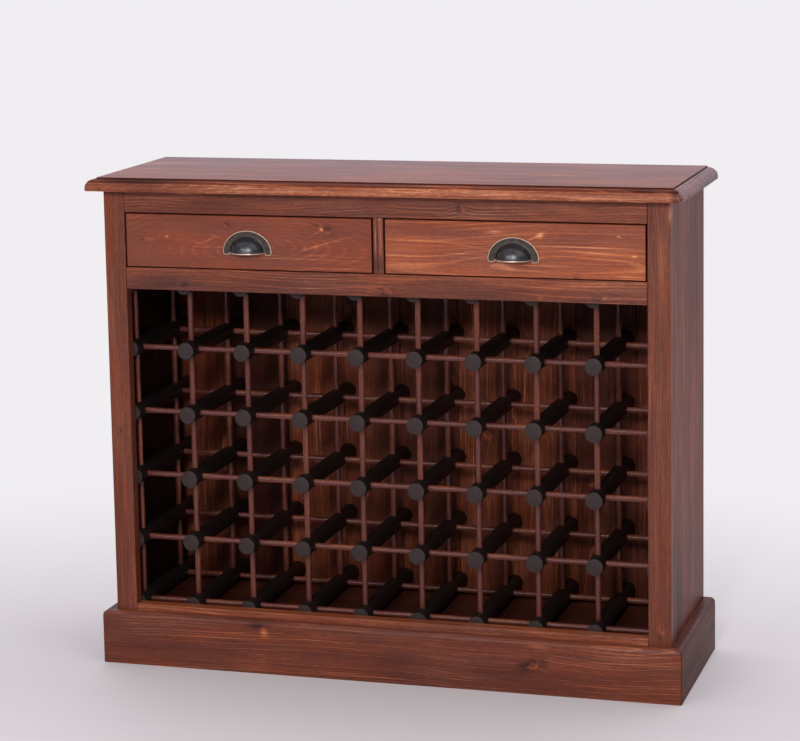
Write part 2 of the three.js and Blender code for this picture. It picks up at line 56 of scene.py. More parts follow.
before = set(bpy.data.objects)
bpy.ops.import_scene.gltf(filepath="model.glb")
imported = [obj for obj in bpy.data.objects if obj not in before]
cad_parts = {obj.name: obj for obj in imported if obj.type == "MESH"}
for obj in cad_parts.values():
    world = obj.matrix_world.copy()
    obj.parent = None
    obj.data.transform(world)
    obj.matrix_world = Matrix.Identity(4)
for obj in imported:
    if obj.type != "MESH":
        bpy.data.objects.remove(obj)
CAD_LOW, CAD_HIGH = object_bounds()
MM = 0.001
JOINT_GAP = 0.3 * MM  # that glued and nailed pieces of the frame keep between them


def linear(*rgb):
    """A colour written as three bytes, in the linear values that shaders take."""
    return tuple(((c / 255 + 0.055) / 1.055) ** 2.4 if c > 10 else c / 255 / 12.92 for c in rgb)


# Sizes and colours


def length(name, description, millimetres):
    return bpy.props.FloatProperty(
        name=name, description=description, default=millimetres * MM, min=0, precision=4, unit="LENGTH"
    )


def colour(name, description, red, green, blue):
    return bpy.props.FloatVectorProperty(
        name=name, description=description, default=linear(red, green, blue), min=0, max=1, subtype="COLOR"
    )


class CabinetSizes(bpy.types.PropertyGroup):
    """Sizes that the frame's boxes don't give"""

    board_ease: length("Board edges", "Rounding of the boards' edges", 1.2)
    stile_ease: length("Outer corners", "Rounding of the stiles' outer corners and the plinth's", 3)
    top_border: length("Top border", "From the moulding's tip in to the foot of the step", 17)
    top_step: length("Top step", "Height of the step round the top board", 2.5)
    top_nose: length("Top nose", "Upright part under the quarter round", 5)
    top_corner: length("Top corners", "Rounding of the top's front corners, seen from above", 8)
    plinth_round: length("Plinth round", "Rounding of the plinth's upper edge", 9)
    bar_radius: length("Bar radius", "Radius of the rack's bars", 15)
    bar_ease: length("Bar ends", "Rounding of the bars' end edges", 0.7)
    dowel_radius: length("Dowel radius", "Radius of the rack's dowels", 5)
    dowel_plug: length("Dowel plug", "How deep a dowel sits in a bar", 6)
    front_setback: length("Front dowels", "From the bars' front ends to the front dowels", 31)
    rear_setback: length("Rear dowels", "From the bars' rear ends to the rear dowels", 67)
    lap: length("Drawer lap", "Front's thickness over the ends of the drawer's sides", 10)
    plate_width: length("Pull width", "Width of the cup pull's plate", 88)
    plate_height: length("Pull height", "From the pull's straight lower edge to its crown", 37.5)
    plate_thickness: length("Pull plate", "Thickness of the pull's plate", 2)
    hood_width: length("Hood width", "Width of the pull's hood", 59)
    hood_height: length("Hood height", "Height of the pull's hood", 26)
    hood_reach: length("Hood reach", "How far the hood stands out", 24)


class CabinetColours(bpy.types.PropertyGroup):
    """Colours of the finishes"""

    stain_dark: colour("Stain, dark", "Darkest streaks of the stained pine", 60, 26, 20)
    stain_mid: colour("Stain, middle", "Ground of the stained pine", 106, 53, 38)
    stain_light: colour("Stain, light", "Late wood of the stained pine", 150, 82, 54)
    stain_glow: colour("Stain, thin", "Where the stain of the stained pine is thinnest", 188, 122, 88)
    # Painted shade: the dark colour that faces inside the rack turn to, as little light reaches them
    inside_painted_shade: colour("Stain, inside", "What the stain turns to inside the cabinet", 34, 17, 14)
    drawer_dark: colour("Drawer, dark", "Darkest streaks of the drawer fronts", 92, 44, 33)
    drawer_mid: colour("Drawer, middle", "Ground of the drawer fronts", 131, 64, 43)
    drawer_light: colour("Drawer, light", "Late wood of the drawer fronts", 178, 100, 64)
    drawer_glow: colour("Drawer, thin", "Where the stain of the drawer fronts is thinnest", 216, 146, 104)
    sawn_end: colour("Sawn ends", "What the stain turns to on the top board's moulded ends", 108, 80, 78)
    knot: colour("Knot", "Heart of the knots", 150, 74, 42)
    knot_rim: colour("Knot rim", "Bark round the knots", 34, 16, 12)
    raw_dark: colour("Raw pine, dark", "Late wood of the unstained pine", 176, 128, 78)
    raw_light: colour("Raw pine, light", "Ground of the unstained pine", 222, 190, 144)
    bar: colour("Bars", "Black stain on the rack's bars", 26, 19, 18)
    # The bars' front ends: end grain, lightened with painted light where they face the lamps
    bar_end_and_light: colour("Bar ends", "Stained end grain of the rack's bars", 49, 36, 36)
    dowel: colour("Dowels", "Red-brown stain on the rack's dowels", 92, 45, 39)
    dowel_warm: colour("Dowels, warm", "Where the dowels' stain is thin", 134, 72, 48)
    metal: colour("Antique metal", "Ground of the cup pulls' plates", 66, 58, 51)
    hood: colour("Antique metal, hood", "Ground of the cup pulls' hoods", 66, 67, 72)
    # Rubbed metal, which also stands in for the highlight along the rims: painted highlight
    worn_and_glint: colour("Worn metal", "Where the cup pulls' rims are rubbed bright", 224, 192, 168)
    steel: colour("Steel", "Screws", 150, 152, 155)
    floor: colour("Floor", "Floor under the cabinet", 214, 209, 213)
    backdrop: colour("Backdrop", "What stands behind the cabinet", 241, 238, 242)


# Shader graphs


class Field:
    """A node's output that takes part in arithmetic, which adds the Math nodes that it needs."""

    def __init__(self, graph, socket):
        self.graph = graph
        self.socket = socket

    def __add__(self, other):
        return self.graph.maths("ADD", self, other)

    def __radd__(self, other):
        return self.graph.maths("ADD", other, self)

    def __sub__(self, other):
        return self.graph.maths("SUBTRACT", self, other)

    def __rsub__(self, other):
        return self.graph.maths("SUBTRACT", other, self)

    def __mul__(self, other):
        return self.graph.maths("MULTIPLY", self, other)

    def __rmul__(self, other):
        return self.graph.maths("MULTIPLY", other, self)

    def __truediv__(self, other):
        return self.graph.maths("DIVIDE", self, other)

    def __rtruediv__(self, other):
        return self.graph.maths("DIVIDE", other, self)


class Graph:
    """The node tree of a material or a world."""

    def __init__(self, owner):
        owner.use_nodes = True
        self.tree = owner.node_tree
        self.tree.nodes.clear()

    def add(self, kind, settings, inputs, output=0):
        """Adds a node, sets what it is before what it takes in, and gives one of its outputs."""
        node = self.tree.nodes.new(kind)
        for key, value in settings.items():
            if key == "stops":
                stops = node.color_ramp.elements
                for index, (place, stop_colour) in enumerate(value):
                    stop = stops[index] if index < 2 else stops.new(place)
                    stop.position = place
                    stop.color = rgba(stop_colour)
            else:
                setattr(node, key, value)
        for key, value in inputs.items():
            if isinstance(value, Field):
                self.tree.links.new(value.socket, node.inputs[key])
            else:
                node.inputs[key].default_value = value
        return Field(self, node.outputs[output]) if node.outputs else None

    def maths(self, operation, first, second=0.0):
        return self.add("ShaderNodeMath", {"operation": operation}, {0: first, 1: second})

    def bell(self, square, narrowness=1.0):
        """1 where a squared distance is 0, falling to 0 far off."""
        return self.maths("EXPONENT", square * -narrowness)

    def smooth(self, value, low, high):
        """0 at low and 1 at high, with a soft change between them."""
        inputs = {0: value, 1: low, 2: high}
        return self.add("ShaderNodeMapRange", {"interpolation_type": "SMOOTHSTEP"}, inputs)

    def parts(self, vector):
        """The three numbers of a vector."""
        split = self.add("ShaderNodeSeparateXYZ", {}, {0: vector})
        return [Field(self, output) for output in split.socket.node.outputs]

    def vector(self, x, y, z):
        return self.add("ShaderNodeCombineXYZ", {}, {0: x, 1: y, 2: z})

    def spot(self, output="Object"):
        """Where on the object a point lies, or another of the object's own coordinates."""
        return self.add("ShaderNodeTexCoord", {}, {}, output)

    def noise(self, vector, detail, scale=1.0, output=0):
        inputs = {"Vector": vector, "Scale": scale, "Detail": detail}
        return self.add("ShaderNodeTexNoise", {}, inputs, output)

    def noise_along(self, value, detail):
        inputs = {"W": value, "Scale": 1.0, "Detail": detail}
        return self.add("ShaderNodeTexNoise", {"noise_dimensions": "1D"}, inputs)

    def mix(self, share, first, second):
        """A colour between two colours."""
        return self.add("ShaderNodeMix", {"data_type": "RGBA"}, {0: share, 6: first, 7: second}, 2)

    def scaled(self, vector, share):
        return self.add("ShaderNodeVectorMath", {"operation": "SCALE"}, {0: vector, "Scale": share})

    def bump(self, height, strength, distance):
        return self.add("ShaderNodeBump", {}, {"Strength": strength, "Distance": distance, "Height": height})

    def principled(self, inputs):
        return self.add("ShaderNodeBsdfPrincipled", {}, inputs)

    def output(self, shader, kind="ShaderNodeOutputMaterial"):
        self.add(kind, {}, {"Surface": shader})


def rgba(rgb, share=1.0):
    """A colour for a socket, as it is or with a share of its brightness."""
    return (*(share * c for c in rgb), 1.0)


def new_material(name):
    material = bpy.data.materials.new(name)
    return material, Graph(material)


# Woods


@dataclass
class Pine:
    """The wood of one board, in millimetres and in places of the frame."""

    kind: str = "stain"
    heart: tuple = (0, -45)  # of the tree, across the board and below its middle
    lean: float = 0.0  # how much nearer the heart comes per length of board
    sway: float = 14  # how far the heart wanders along the board
    ring: float = 4.0  # width of a year's growth
    figure: float = 1.0  # contrast of the late wood and the blotches
    fine: float = 1.0  # contrast of the fibres
    strip: float = 0.0  # width of the strips of a glued-up board
    knots: tuple = ()  # place along and across the grain, and radius
    # Some marks are broad patches of painted light or shade rather than streaks
    marks: tuple = ()  # streaks: place along and across, half length, half width, tone, slope
    shade: float = 0.0  # added to the board's tone
    # The inside share darkens the faces towards the middle of the cabinet with painted shade
    inside: float = 0.0  # how far the face towards the middle of the cabinet is darkened
    sawn: bool = False  # end grain all over, as on a moulding cut across the board
    narrow: bool = False  # whether knots and streaks are placed on the board's narrow face
    tint: float = 1.0  # how far the stain turns to warm and cool from place to place
    gloss: float = 0.34


STILE = {"ring": 3.2, "figure": 0.6, "fine": 0.6, "shade": -0.02, "gloss": 0.28}
EDGE_HEART = (60, -160)  # where the heart lies for the top board's moulded edges
EDGE_MARKS = (
    (-500, -160, 16, 4, 0.2, 0.0), (-425, -160, 75, 16, -0.4, 0.0), (-318, -160, 16, 4, 0.3, 0.05),
    (-280, -160, 30, 3, 0.1, 0.0), (-238, -158, 14, 4, 0.28, 0.1), (-20, -158, 12, 4, 0.3, -0.1),
    (90, -160, 80, 2.5, 0.2, 0.0), (270, -163, 150, 3, 0.25, 0.0), (455, -160, 30, 6, -0.3, 0.0),
    (500, -160, 9, 5, 0.35, 0.0), (513, -164, 7, 16, -0.45, 0.0),
)
WOODS = {
    "top_panel": Pine(heart=(50, -50), figure=1.1, fine=0.8, strip=88, shade=0.06, tint=0.5, gloss=0.42),
    # A lit and a shaded copy of the moulding's wood: top_nose is lightened with painted light on the round's
    # lower, forward part, top_slope darkened with painted shade on its upper part
    "top_nose": Pine(
        heart=EDGE_HEART, ring=3.2, fine=1.2, shade=0.3, marks=EDGE_MARKS, gloss=0.26, tint=0.3
    ),
    "top_slope": Pine(
        heart=EDGE_HEART, ring=3.2, fine=0.9, shade=-0.04,
        marks=tuple(mark for mark in EDGE_MARKS if mark[4] < 0.25), gloss=0.04,
    ),
    "top_ends": Pine(heart=EDGE_HEART, sawn=True, marks=((525, -95, 90, 85, 0.5, 0),), gloss=0.38),
    # top_quirk is darkened for the stain in the groove at the foot of the step, and with painted shade there
    "top_quirk": Pine(heart=EDGE_HEART, shade=-0.34, gloss=0.02),
    "top_rail": Pine(
        heart=(60, -90), ring=3.4, fine=0.8, knots=((145, 826, 5),),
        marks=(
            (207, 828, 7, 3, 0.12, 0.2), (330, 828, 30, 6, 0.1, 0), (-150, 822, 60, 1.2, 0.2, 0.08),
            # Broad patches, darker on the rail's left half and lighter on its right: painted shade and
            # painted light
            (-370, 826, 130, 22, -0.1, 0), (360, 826, 130, 22, 0.06, 0),
        ),
    ),
    "mid_rail": Pine(
        heart=(-40, -60), fine=0.8, shade=-0.05, knots=((13, 681, 6),),
        marks=(
            (-354, 684, 7, 4, -0.3, 0.3), (-362, 682, 4, 2, 0.2, -0.3), (389, 682, 5, 3, 0.3, 0.4),
            (378, 680, 11, 4, -0.25, 0), (280, 680, 4, 4, 0.2, 0), (60, 705, 90, 1.4, 0.2, 0.02),
            (-380, 688, 60, 8, -0.14, 0), (320, 700, 110, 1.2, 0.22, 0.03), (200, 686, 60, 7, -0.1, 0),
            # A broad lighter patch over the rail's right half: painted light
            (330, 690, 180, 24, 0.15, 0),
        ),
    ),
    "bottom_rail": Pine(heart=(40, -80), ring=3.6, fine=0.8, shade=0.18),
    "drawer_divider": Pine(
        heart=(30, -50), ring=3.4, narrow=True,
        marks=(
            (806, 3, 4, 3, 0.35, 0.4), (811, -3, 3, 3, -0.3, 0), (770, 4, 30, 1.6, 0.3, 0),
            (774, -5, 22, 1.4, 0.45, 0), (778, -1, 26, 2, -0.2, 0), (727, 0, 15, 10, -0.35, 0),
        ),
    ),
    "stile_left": Pine(
        heart=(70, -70), **STILE, knots=((420, -484, 2.5),),
        marks=(
            (600, -488, 90, 4, 0.1, 0), (300, -478, 120, 3, 0.1, 0), (480, -486, 130, 18, 0.12, 0),
            (200, -486, 90, 18, -0.06, 0),
        ),
    ),
    "stile_right": Pine(
        heart=(-70, -70), **STILE,
        marks=(
            (826, 499, 16, 1.5, 0.6, 0), (760, 486, 40, 5, 0.1, 0), (118, 486, 5, 4, 0.3, 0.4),
            (110, 481, 7, 3, -0.3, -0.3), (124, 480, 8, 2, 0.2, 0.2), (740, 486, 90, 18, 0.12, 0),
            (500, 486, 120, 18, 0.07, 0),
        ),
    ),
    "plinth_front": Pine(
        heart=(90, -70), sway=20, figure=0.9, fine=0.7, shade=-0.05, gloss=0.26, knots=((264, 52, 7),),
        marks=(
            (-217, 77, 7, 8, 0.5, 0), (-228, 86, 17, 6, -0.45, 0), (-214, 68, 8, 5, 0.15, 0),
            (250, 48, 14, 8, -0.28, 0.2), (284, 58, 7, 10, -0.25, 0), (276, 84, 16, 5, 0.3, -0.1),
            (-430, 30, 110, 22, -0.14, 0), (-300, 72, 120, 14, 0.08, 0), (440, 74, 110, 12, 0.16, -0.03),
            (160, 20, 220, 18, -0.1, 0),
        ),
    ),
    "plinth_left": Pine(heart=(-90, -60), shade=-0.32, gloss=0.09),
    "plinth_right": Pine(heart=(80, -60), shade=-0.32, gloss=0.09, knots=((20, 40, 5),)),
    "side_panel": Pine(
        # The panels' inner faces are almost wholly painted shade
        heart=(60, -60), figure=1.2, strip=97, inside=0.97, tint=0.6, gloss=0.1,
        knots=((520, 40, 5), (210, -60, 6)),
        marks=(
            (725, 75, 150, 40, -0.24, 0), (150, -70, 60, 25, -0.15, 0), (420, 166, 400, 10, -0.35, 0),
            # The second streak on the next line darkens the panel's lower end: painted shade
            (420, 60, 100, 30, 0.1, 0), (120, 0, 170, 300, -0.2, 0),
        ),
    ),
    # The floor and the deck: pine darkened with painted shade, as the inside of the rack gets little light
    "shaded_inner_panel": Pine(heart=(40, -50), strip=90, figure=0.7, shade=-0.4, gloss=0.2),
    "batten": Pine(kind="raw", heart=(0, -30)),
    "drawer_box": Pine(kind="raw", heart=(4, -30)),
    "drawer_left_front": Pine(
        kind="drawer", heart=(-16, -34), lean=0.24, sway=26, ring=6, figure=0.55, fine=0.65, shade=-0.1,
        knots=((-273, 790, 3.5), (-88, 785, 5), (-428, 760, 2)),
        marks=(
            (-105, 792, 16, 3, -0.3, -0.3), (-101, 788, 4, 5, 0.7, -0.5), (-86, 783, 5, 5, -0.35, -0.8),
            (-110, 780, 12, 1.5, 0.3, 0.5), (-383, 768, 3, 2, 0.5, 0), (-418, 762, 12, 3, 0.2, 0),
            (-327, 758, 13, 2.4, 0.2, -0.15), (-306, 763, 11, 2.6, 0.24, 0.5),
            (-294, 771, 9, 2.0, 0.2, -0.3), (-123, 753, 30, 1.6, 0.3, 0.3), (-95, 762, 34, 1.4, 0.24, 0.22),
            (-60, 772, 28, 1.4, 0.2, 0.16), (-110, 742, 32, 1.4, 0.2, 0.12),
        ),
    ),
    "drawer_right_front": Pine(
        kind="drawer", heart=(-30, -40), sway=16, ring=7, figure=0.7, fine=0.65, shade=0.06,
        knots=((343, 716, 2.5),),
        marks=(
            (281, 785, 6, 4.5, 0.62, 0.25), (266, 779, 11, 2, 0.4, 0.5), (225, 730, 14, 3, 0.26, -0.1),
            (203, 790, 12, 3, 0.34, 0), (414, 786, 4, 1.2, 0.55, -0.3), (440, 754, 4, 1.4, 0.6, 0),
            (350, 767, 75, 1.2, 0.36, -0.01), (370, 758, 66, 1.0, 0.34, -0.06),
            (90, 771, 78, 1.2, 0.24, -0.02), (160, 764, 40, 1.2, 0.22, -0.12),
            (60, 757, 40, 1.0, 0.16, 0.0), (428, 720, 22, 2, 0.28, -0.04), (400, 760, 60, 9, 0.1, 0.0),
            (120, 785, 60, 7, -0.12, 0), (60, 730, 60, 8, 0.1, 0),
        ),
    ),
}
# Tones of the back boards, which also paint the shade that falls on parts of the back
BACK_TONES_AND_SHADE = (-0.08, -0.5, 0.06, -0.12, -0.28, 0.04, 0.0, -0.24, -0.16)  # from left to right
BACK_KNOTS = {
    3: ((560, -190, 6),),
    4: ((592, -151, 8), (250, -128, 6)),
    5: ((474, 49, 7),),
    6: ((377, 109, 8), (620, 84, 5)),
    7: ((547, 190, 6),),
    8: ((300, 300, 8), (547, 276, 6)),
    9: ((430, 400, 7),),
}

# Noises in a board: scale along and across the grain per metre, detail, and shifts by the board's seed

NOISES = {
    "ripple": (17, 70, 3, 1, 0),
    "rough": (190, 190, 2, 1, 0),
    "patch": (4, 22, 1, 5, 0),
    "fibre": (11, 620, 3, 1, 0),
    "fleck": (85, 600, 2, 1, 0),
    "streak": (4, 410, 2, 1, 1),
    "blotch": (6, 21, 3, 3, 0),
    "pores": (200, 230, 3, 0, 0),
    "cast": (5, 30, 2, 2, 1),
}

# What each part of the figure adds to a board's tone: 0 is the darkest streak and 1 the brightest wood

GROUND_TONE = 0.42
STRIP_TONE = 0.16
GLUE_LINE_TONE = -0.2
LATE_TONE = 0.36
BAND_TONE = 0.3
BLOTCH_TONE = 0.5
BRIGHT_STREAK_TONE = 0.3
DIM_STREAK_TONE = -0.16
STREAK_TONE = 0.16
FIBRE_TONE = 0.66
FLECK_TONE = 0.6
KNOT_HALO_TONE = -0.16


class Grain:
    """Places in a board, in metres from its middle: u along the grain, v across it and w through it."""

    strip_jump = 2.37  # metres of the tree between the woods of two neighbouring strips
    glue_line = 0.8 * MM  # half the width that a joint between strips darkens
    knot_stretch = 1.25  # how much longer than wide a knot is
    knot_roughness = 1.5  # how far a knot's outline wanders, in its radii
    rim_radius, rim_sharpness = 0.9, 3.2  # where a knot's rim lies, in its radii, and how thin it is
    streak_sway = 2.5  # how far the ripple moves a streak's edges, in millimetres

    def __init__(self, graph, name, low, high, along, narrow):
        size = [h - l for l, h in zip(low, high)]
        middle = [(l + h) / 2 for l, h in zip(low, high)]
        across, deep = sorted((axis for axis in range(3) if axis != along), key=lambda axis: -size[axis])
        if narrow:
            across, deep = deep, across
        self.graph = graph
        self.seed = sum(ord(letter) * (index + 3) for index, letter in enumerate(name)) % 97 / 7
        place = graph.parts(graph.spot())
        self.u, self.v, self.w = (place[axis] - middle[axis] for axis in (along, across, deep))
        self.spot_u, self.spot_v = self.u, self.v
        self.middle_u, self.middle_v = middle[along], middle[across]
        self.inward = 1 if middle[deep] < 0 else -1
        self.thickness = size[deep]

    def noise(self, name):
        """One of the noises, drawn out along the grain. The seed gives each board its own."""
        along, across, detail, shift, deep_shift = NOISES[name]
        u, w = self.u * along + self.seed * shift, self.w * across
        if deep_shift:
            w = w + self.seed * deep_shift
        return self.graph.noise(self.graph.vector(u, self.v * across, w), detail)

    def from_spot(self, along_mm, across_mm):
        """How far along and across the grain a place of the frame lies."""
        return self.spot_u - (along_mm * MM - self.middle_u), self.spot_v - (across_mm * MM - self.middle_v)

    def glue_up(self, width):
        """Splits the board into strips with wood of their own. Gives the tone of strips and glue lines."""
        graph = self.graph
        count = self.v / width + 0.5 + self.seed
        strip = graph.maths("FLOOR", count)
        self.v = (count - strip - 0.5) * width
        self.u = self.u + strip * self.strip_jump
        shade = graph.add("ShaderNodeTexWhiteNoise", {"noise_dimensions": "1D"}, {"W": strip})
        line = graph.smooth(graph.maths("ABSOLUTE", self.v), width / 2 - self.glue_line, width / 2)
        return (shade - 0.5) * STRIP_TONE + line * GLUE_LINE_TONE

    def heart_distance(self, wood):
        """How far a point lies from the tree's heart, which wanders along the board."""
        graph = self.graph
        wander = graph.vector(self.u * 2.3 + self.seed, self.v * 2.5 + self.seed * 1.7, self.w * 2.5)
        drift_v, drift_w, _ = graph.parts(graph.noise(wander, 1, output="Color"))
        sway = wood.sway * MM * 3  # the noise seldom leaves the middle third of its range
        v = self.v - wood.heart[0] * MM + (drift_v - 0.5) * sway
        w = self.w - wood.heart[1] * MM + (drift_w - 0.5) * sway
        if wood.lean:
            w = w - self.u * wood.lean
        return graph.maths("SQRT", v * v + w * w)

    def knots(self, knots):
        """How the knots push out the rings, and their halo, core, lit rim and bark."""
        graph = self.graph
        rough = self.noise("rough")
        push, halo, core, lit, bark = 0.0, 0.0, 0.0, 0.0, 0.0
        for along_mm, across_mm, radius_mm in knots:
            knot = radius_mm * MM
            du, dv = self.from_spot(along_mm, across_mm)
            du, dv = du / (knot * self.knot_stretch), dv / knot
            square = du * du + dv * dv
            distance = graph.maths("SQRT", square) + (rough - 0.5) * self.knot_roughness
            edge = (distance - self.rim_radius) * self.rim_sharpness
            rim = graph.bell(edge * edge)
            turn = along_mm * 0.37 + across_mm  # an angle of the knot's own
            side = graph.smooth(du * math.cos(turn) + dv * math.sin(turn), -0.5, 0.6)
            push = graph.bell(square, 0.12) * (knot * 0.9) + push
            halo = graph.bell(square, 0.2) + halo
            core = graph.smooth(distance, 0.8, 0.35) + core
            lit = rim * side + lit
            bark = rim * (1 - side) + bark
        return push, halo, core, lit, bark

    def figure(self, radius, wood):
        """The tone of rings, fibres and blotches, and the late wood and the fibres by themselves."""
        graph = self.graph
        year = graph.maths("FRACT", radius / (wood.ring * MM))
        late = graph.smooth(year, 0.5, 0.93) * graph.smooth(year, 1.0, 0.95)
        strength = graph.noise_along(radius * 170 + self.seed, 1)
        band = graph.noise_along(radius * 60 + self.seed * 2, 2)
        patch, fibre, fleck = self.noise("patch"), self.noise("fibre"), self.noise("fleck")
        streak, blotch = self.noise("streak"), self.noise("blotch")
        late = late * graph.smooth(strength, 0.36, 0.6) * graph.smooth(patch, 0.3, 0.6)
        bright = graph.smooth(streak, 0.6, 0.68) * graph.smooth(patch, 0.4, 0.6)
        dim = graph.smooth(streak, 0.4, 0.32)
        coarse = late * LATE_TONE + (band - 0.5) * BAND_TONE + (blotch - 0.5) * BLOTCH_TONE
        thin = bright * BRIGHT_STREAK_TONE + dim * DIM_STREAK_TONE + (streak - 0.5) * STREAK_TONE
        thin = thin + (fibre - 0.5) * FIBRE_TONE + (fleck - 0.5) * FLECK_TONE
        return coarse * wood.figure + thin * wood.fine, late, fibre

    def mark(self, mark, ripple):
        """The tone of a streak, whose edges follow the ripple of the grain."""
        along_mm, across_mm, long_mm, wide_mm, tone, slope = mark
        du, dv = self.from_spot(along_mm, across_mm)
        sway = min(self.streak_sway, wide_mm) * MM  # less on a thin streak
        dv = dv + (ripple - 0.5) * sway - du * slope
        square = (du * du) / (long_mm * MM) ** 2 + (dv * dv) / (wide_mm * MM) ** 2
        return self.graph.bell(square) * tone


def stops_for(colours, kind):
    """Colour stops of one kind of wood, from its darkest streaks to its brightest late wood."""
    if kind == "raw":
        light, dark = tuple(colours.raw_light), tuple(colours.raw_dark)
        return [(0.0, dark), (1.0, light), (0.45, tuple(0.4 * d + 0.6 * l for d, l in zip(dark, light)))]
    dark, mid, light, glow = (getattr(colours, f"{kind}_{part}") for part in ("dark", "mid", "light", "glow"))
    return [(0.0, dark), (1.0, glow), (0.42, mid), (0.74, light)]


def pine(name, low, high, along, wood):
    """Wood with growth rings round a wandering heart, fibres, blotches of stain, streaks and knots."""
    colours = bpy.context.scene.cabinet_colours
    material, graph = new_material(name)
    grain = Grain(graph, name, low, high, along, wood.narrow)
    tone = GROUND_TONE + wood.shade
    if wood.strip:
        tone = grain.glue_up(wood.strip * MM) + tone
    ripple = grain.noise("ripple")
    radius = grain.heart_distance(wood) + (ripple - 0.5) * (wood.ring * 0.4 * MM)
    if wood.knots:
        push, halo, core, lit, bark = grain.knots(wood.knots)
        radius = radius + push
    figure, late, fibre = grain.figure(radius, wood)
    tone = figure + tone
    for mark in wood.marks:
        tone = grain.mark(mark, ripple) + tone
    pores = grain.noise("pores")
    if wood.sawn:  # half of the figure shows, with the pores over it
        specks = graph.noise(graph.vector(grain.u * 300, grain.v * 110, grain.w * 300), 1)
        tone = tone * 0.5 + (pores - 0.5) * 1.2 + (wood.shade + 0.15)
    else:  # the ends take up more stain, unevenly
        facing = graph.parts(graph.spot("Normal"))[along]
        ends = graph.smooth(graph.maths("ABSOLUTE", facing), 0.4, 0.85)
        tone = tone - ends * (1.15 - pores * 1.7)
    if wood.knots:
        tone = halo * KNOT_HALO_TONE + tone
    body = graph.add("ShaderNodeValToRGB", {"stops": stops_for(colours, wood.kind)}, {0: tone})
    warm = (1 + 0.08 * wood.tint, 1 - 0.03 * wood.tint, 1 - 0.18 * wood.tint, 1)
    cool = (1 - 0.08 * wood.tint, 1, 1 + 0.12 * wood.tint, 1)
    cast = graph.mix(graph.smooth(grain.noise("cast"), 0.35, 0.65), warm, cool)
    body = graph.add("ShaderNodeVectorMath", {"operation": "MULTIPLY"}, {0: body, 1: cast})
    if wood.sawn:
        speckle = graph.smooth(specks, 0.38, 0.62) * 0.9 + 0.5
        body = graph.scaled(graph.mix(0.6, body, rgba(colours.sawn_end)), speckle)
    # Painted shade on the faces towards the middle of the cabinet, where the lamps hardly reach
    if wood.inside:
        inside_shade_share = graph.smooth(grain.w * grain.inward, grain.thickness * 0.3, grain.thickness * 0.45)
        body = graph.mix(inside_shade_share * wood.inside, body, rgba(colours.inside_painted_shade))
    if wood.knots:
        heart = colours.raw_dark if wood.kind == "raw" else colours.knot
        dark, pale, rim = rgba(heart, 0.55), rgba(heart, 1.35), rgba(colours.knot_rim)
        for layer, strength, tint in ((core, 0.55, dark), (lit, 0.5, pale), (bark, 0.7, rim)):
            body = graph.mix(graph.maths("MINIMUM", layer * strength, 1.0), body, tint)
    inputs = {
        "Base Color": body,
        "Roughness": (fibre - 0.5) * 0.5 + (0.62 if wood.kind == "raw" else 0.42),
        "Normal": graph.bump(fibre * 0.6 + late * 0.3, strength=0.25, distance=0.4 * MM),
        "Specular IOR Level": wood.gloss,
    }
    graph.output(graph.principled(inputs))
    return material


# Other finishes


def turned_wood(name, base, warm, end, roughness, gloss):
    """Stained round stock: a fine mottle, warmer patches, and front ends of a colour of their own, which on
    the bars also paints light where the ends face the lamps.
    """
    material, graph = new_material(name)
    spot = graph.spot()
    fine = graph.noise(spot, detail=3, scale=240.0)
    patch = graph.noise(spot, detail=1, scale=9.0)
    body = graph.mix(graph.smooth(patch, 0.42, 0.66), rgba(base), rgba(warm))
    # Front ends: end grain, and on the bars painted light where they face the lamps
    facing = graph.parts(graph.spot("Normal"))[1]
    body = graph.mix(graph.smooth(facing, -0.8, -0.97), body, rgba(end))
    body = graph.mix(graph.smooth(fine, 0.3, 0.7), graph.scaled(body, 0.8), graph.scaled(body, 1.2))
    inputs = {
        "Base Color": body,
        "Roughness": (fine - 0.5) * 0.2 + roughness,
        "Normal": graph.bump(fine, strength=0.15, distance=0.3 * MM),
        "Specular IOR Level": gloss,
    }
    graph.output(graph.principled(inputs))
    return material


def antique_metal(name):
    """Dark plated metal: a mottled plate, a smoother dark hood, and bright where an attribute marks the rims,
    which is rubbed metal and a painted highlight.
    """
    colours = bpy.context.scene.cabinet_colours
    material, graph = new_material(name)
    spot = graph.spot()
    mottle = graph.noise(spot, detail=3, scale=460.0)
    cloud = graph.noise(spot, detail=2, scale=110.0)
    dome = graph.add("ShaderNodeAttribute", {"attribute_name": "dome"}, {}, "Fac")
    rub = graph.add("ShaderNodeAttribute", {"attribute_name": "rub"}, {}, "Fac")
    rub = graph.smooth(rub + (mottle - 0.5) * 0.4, 0.3, 0.7)
    light = graph.smooth(mottle + cloud, 0.75, 1.3)
    plate = graph.mix(light, rgba(colours.metal, 0.5), rgba(colours.metal, 1.3))
    hood = graph.mix(graph.smooth(mottle, 0.3, 0.75), rgba(colours.hood), rgba(colours.hood, 1.7))
    inputs = {
        "Base Color": graph.mix(rub, graph.mix(dome, plate, hood), rgba(colours.worn_and_glint)),
        "Metallic": 0.35 + dome * 0.35 - rub * 0.3,
        "Roughness": (mottle - 0.5) * 0.14 + 0.5 - dome * 0.15,
        "Normal": graph.bump(mottle, strength=0.1, distance=0.2 * MM),
    }
    graph.output(graph.principled(inputs))
    return material


def zinc(name):
    colours = bpy.context.scene.cabinet_colours
    material, graph = new_material(name)
    grain = graph.noise(graph.spot(), detail=2, scale=700.0)
    body = graph.mix(grain, rgba(colours.steel, 0.75), rgba(colours.steel))
    roughness = (grain - 0.5) * 0.3 + 0.34
    graph.output(graph.principled({"Base Color": body, "Metallic": 1.0, "Roughness": roughness}))
    return material


# Meshes

SMOOTH_BELOW = math.radians(50)  # between two faces
EASE_ABOVE = math.radians(35)


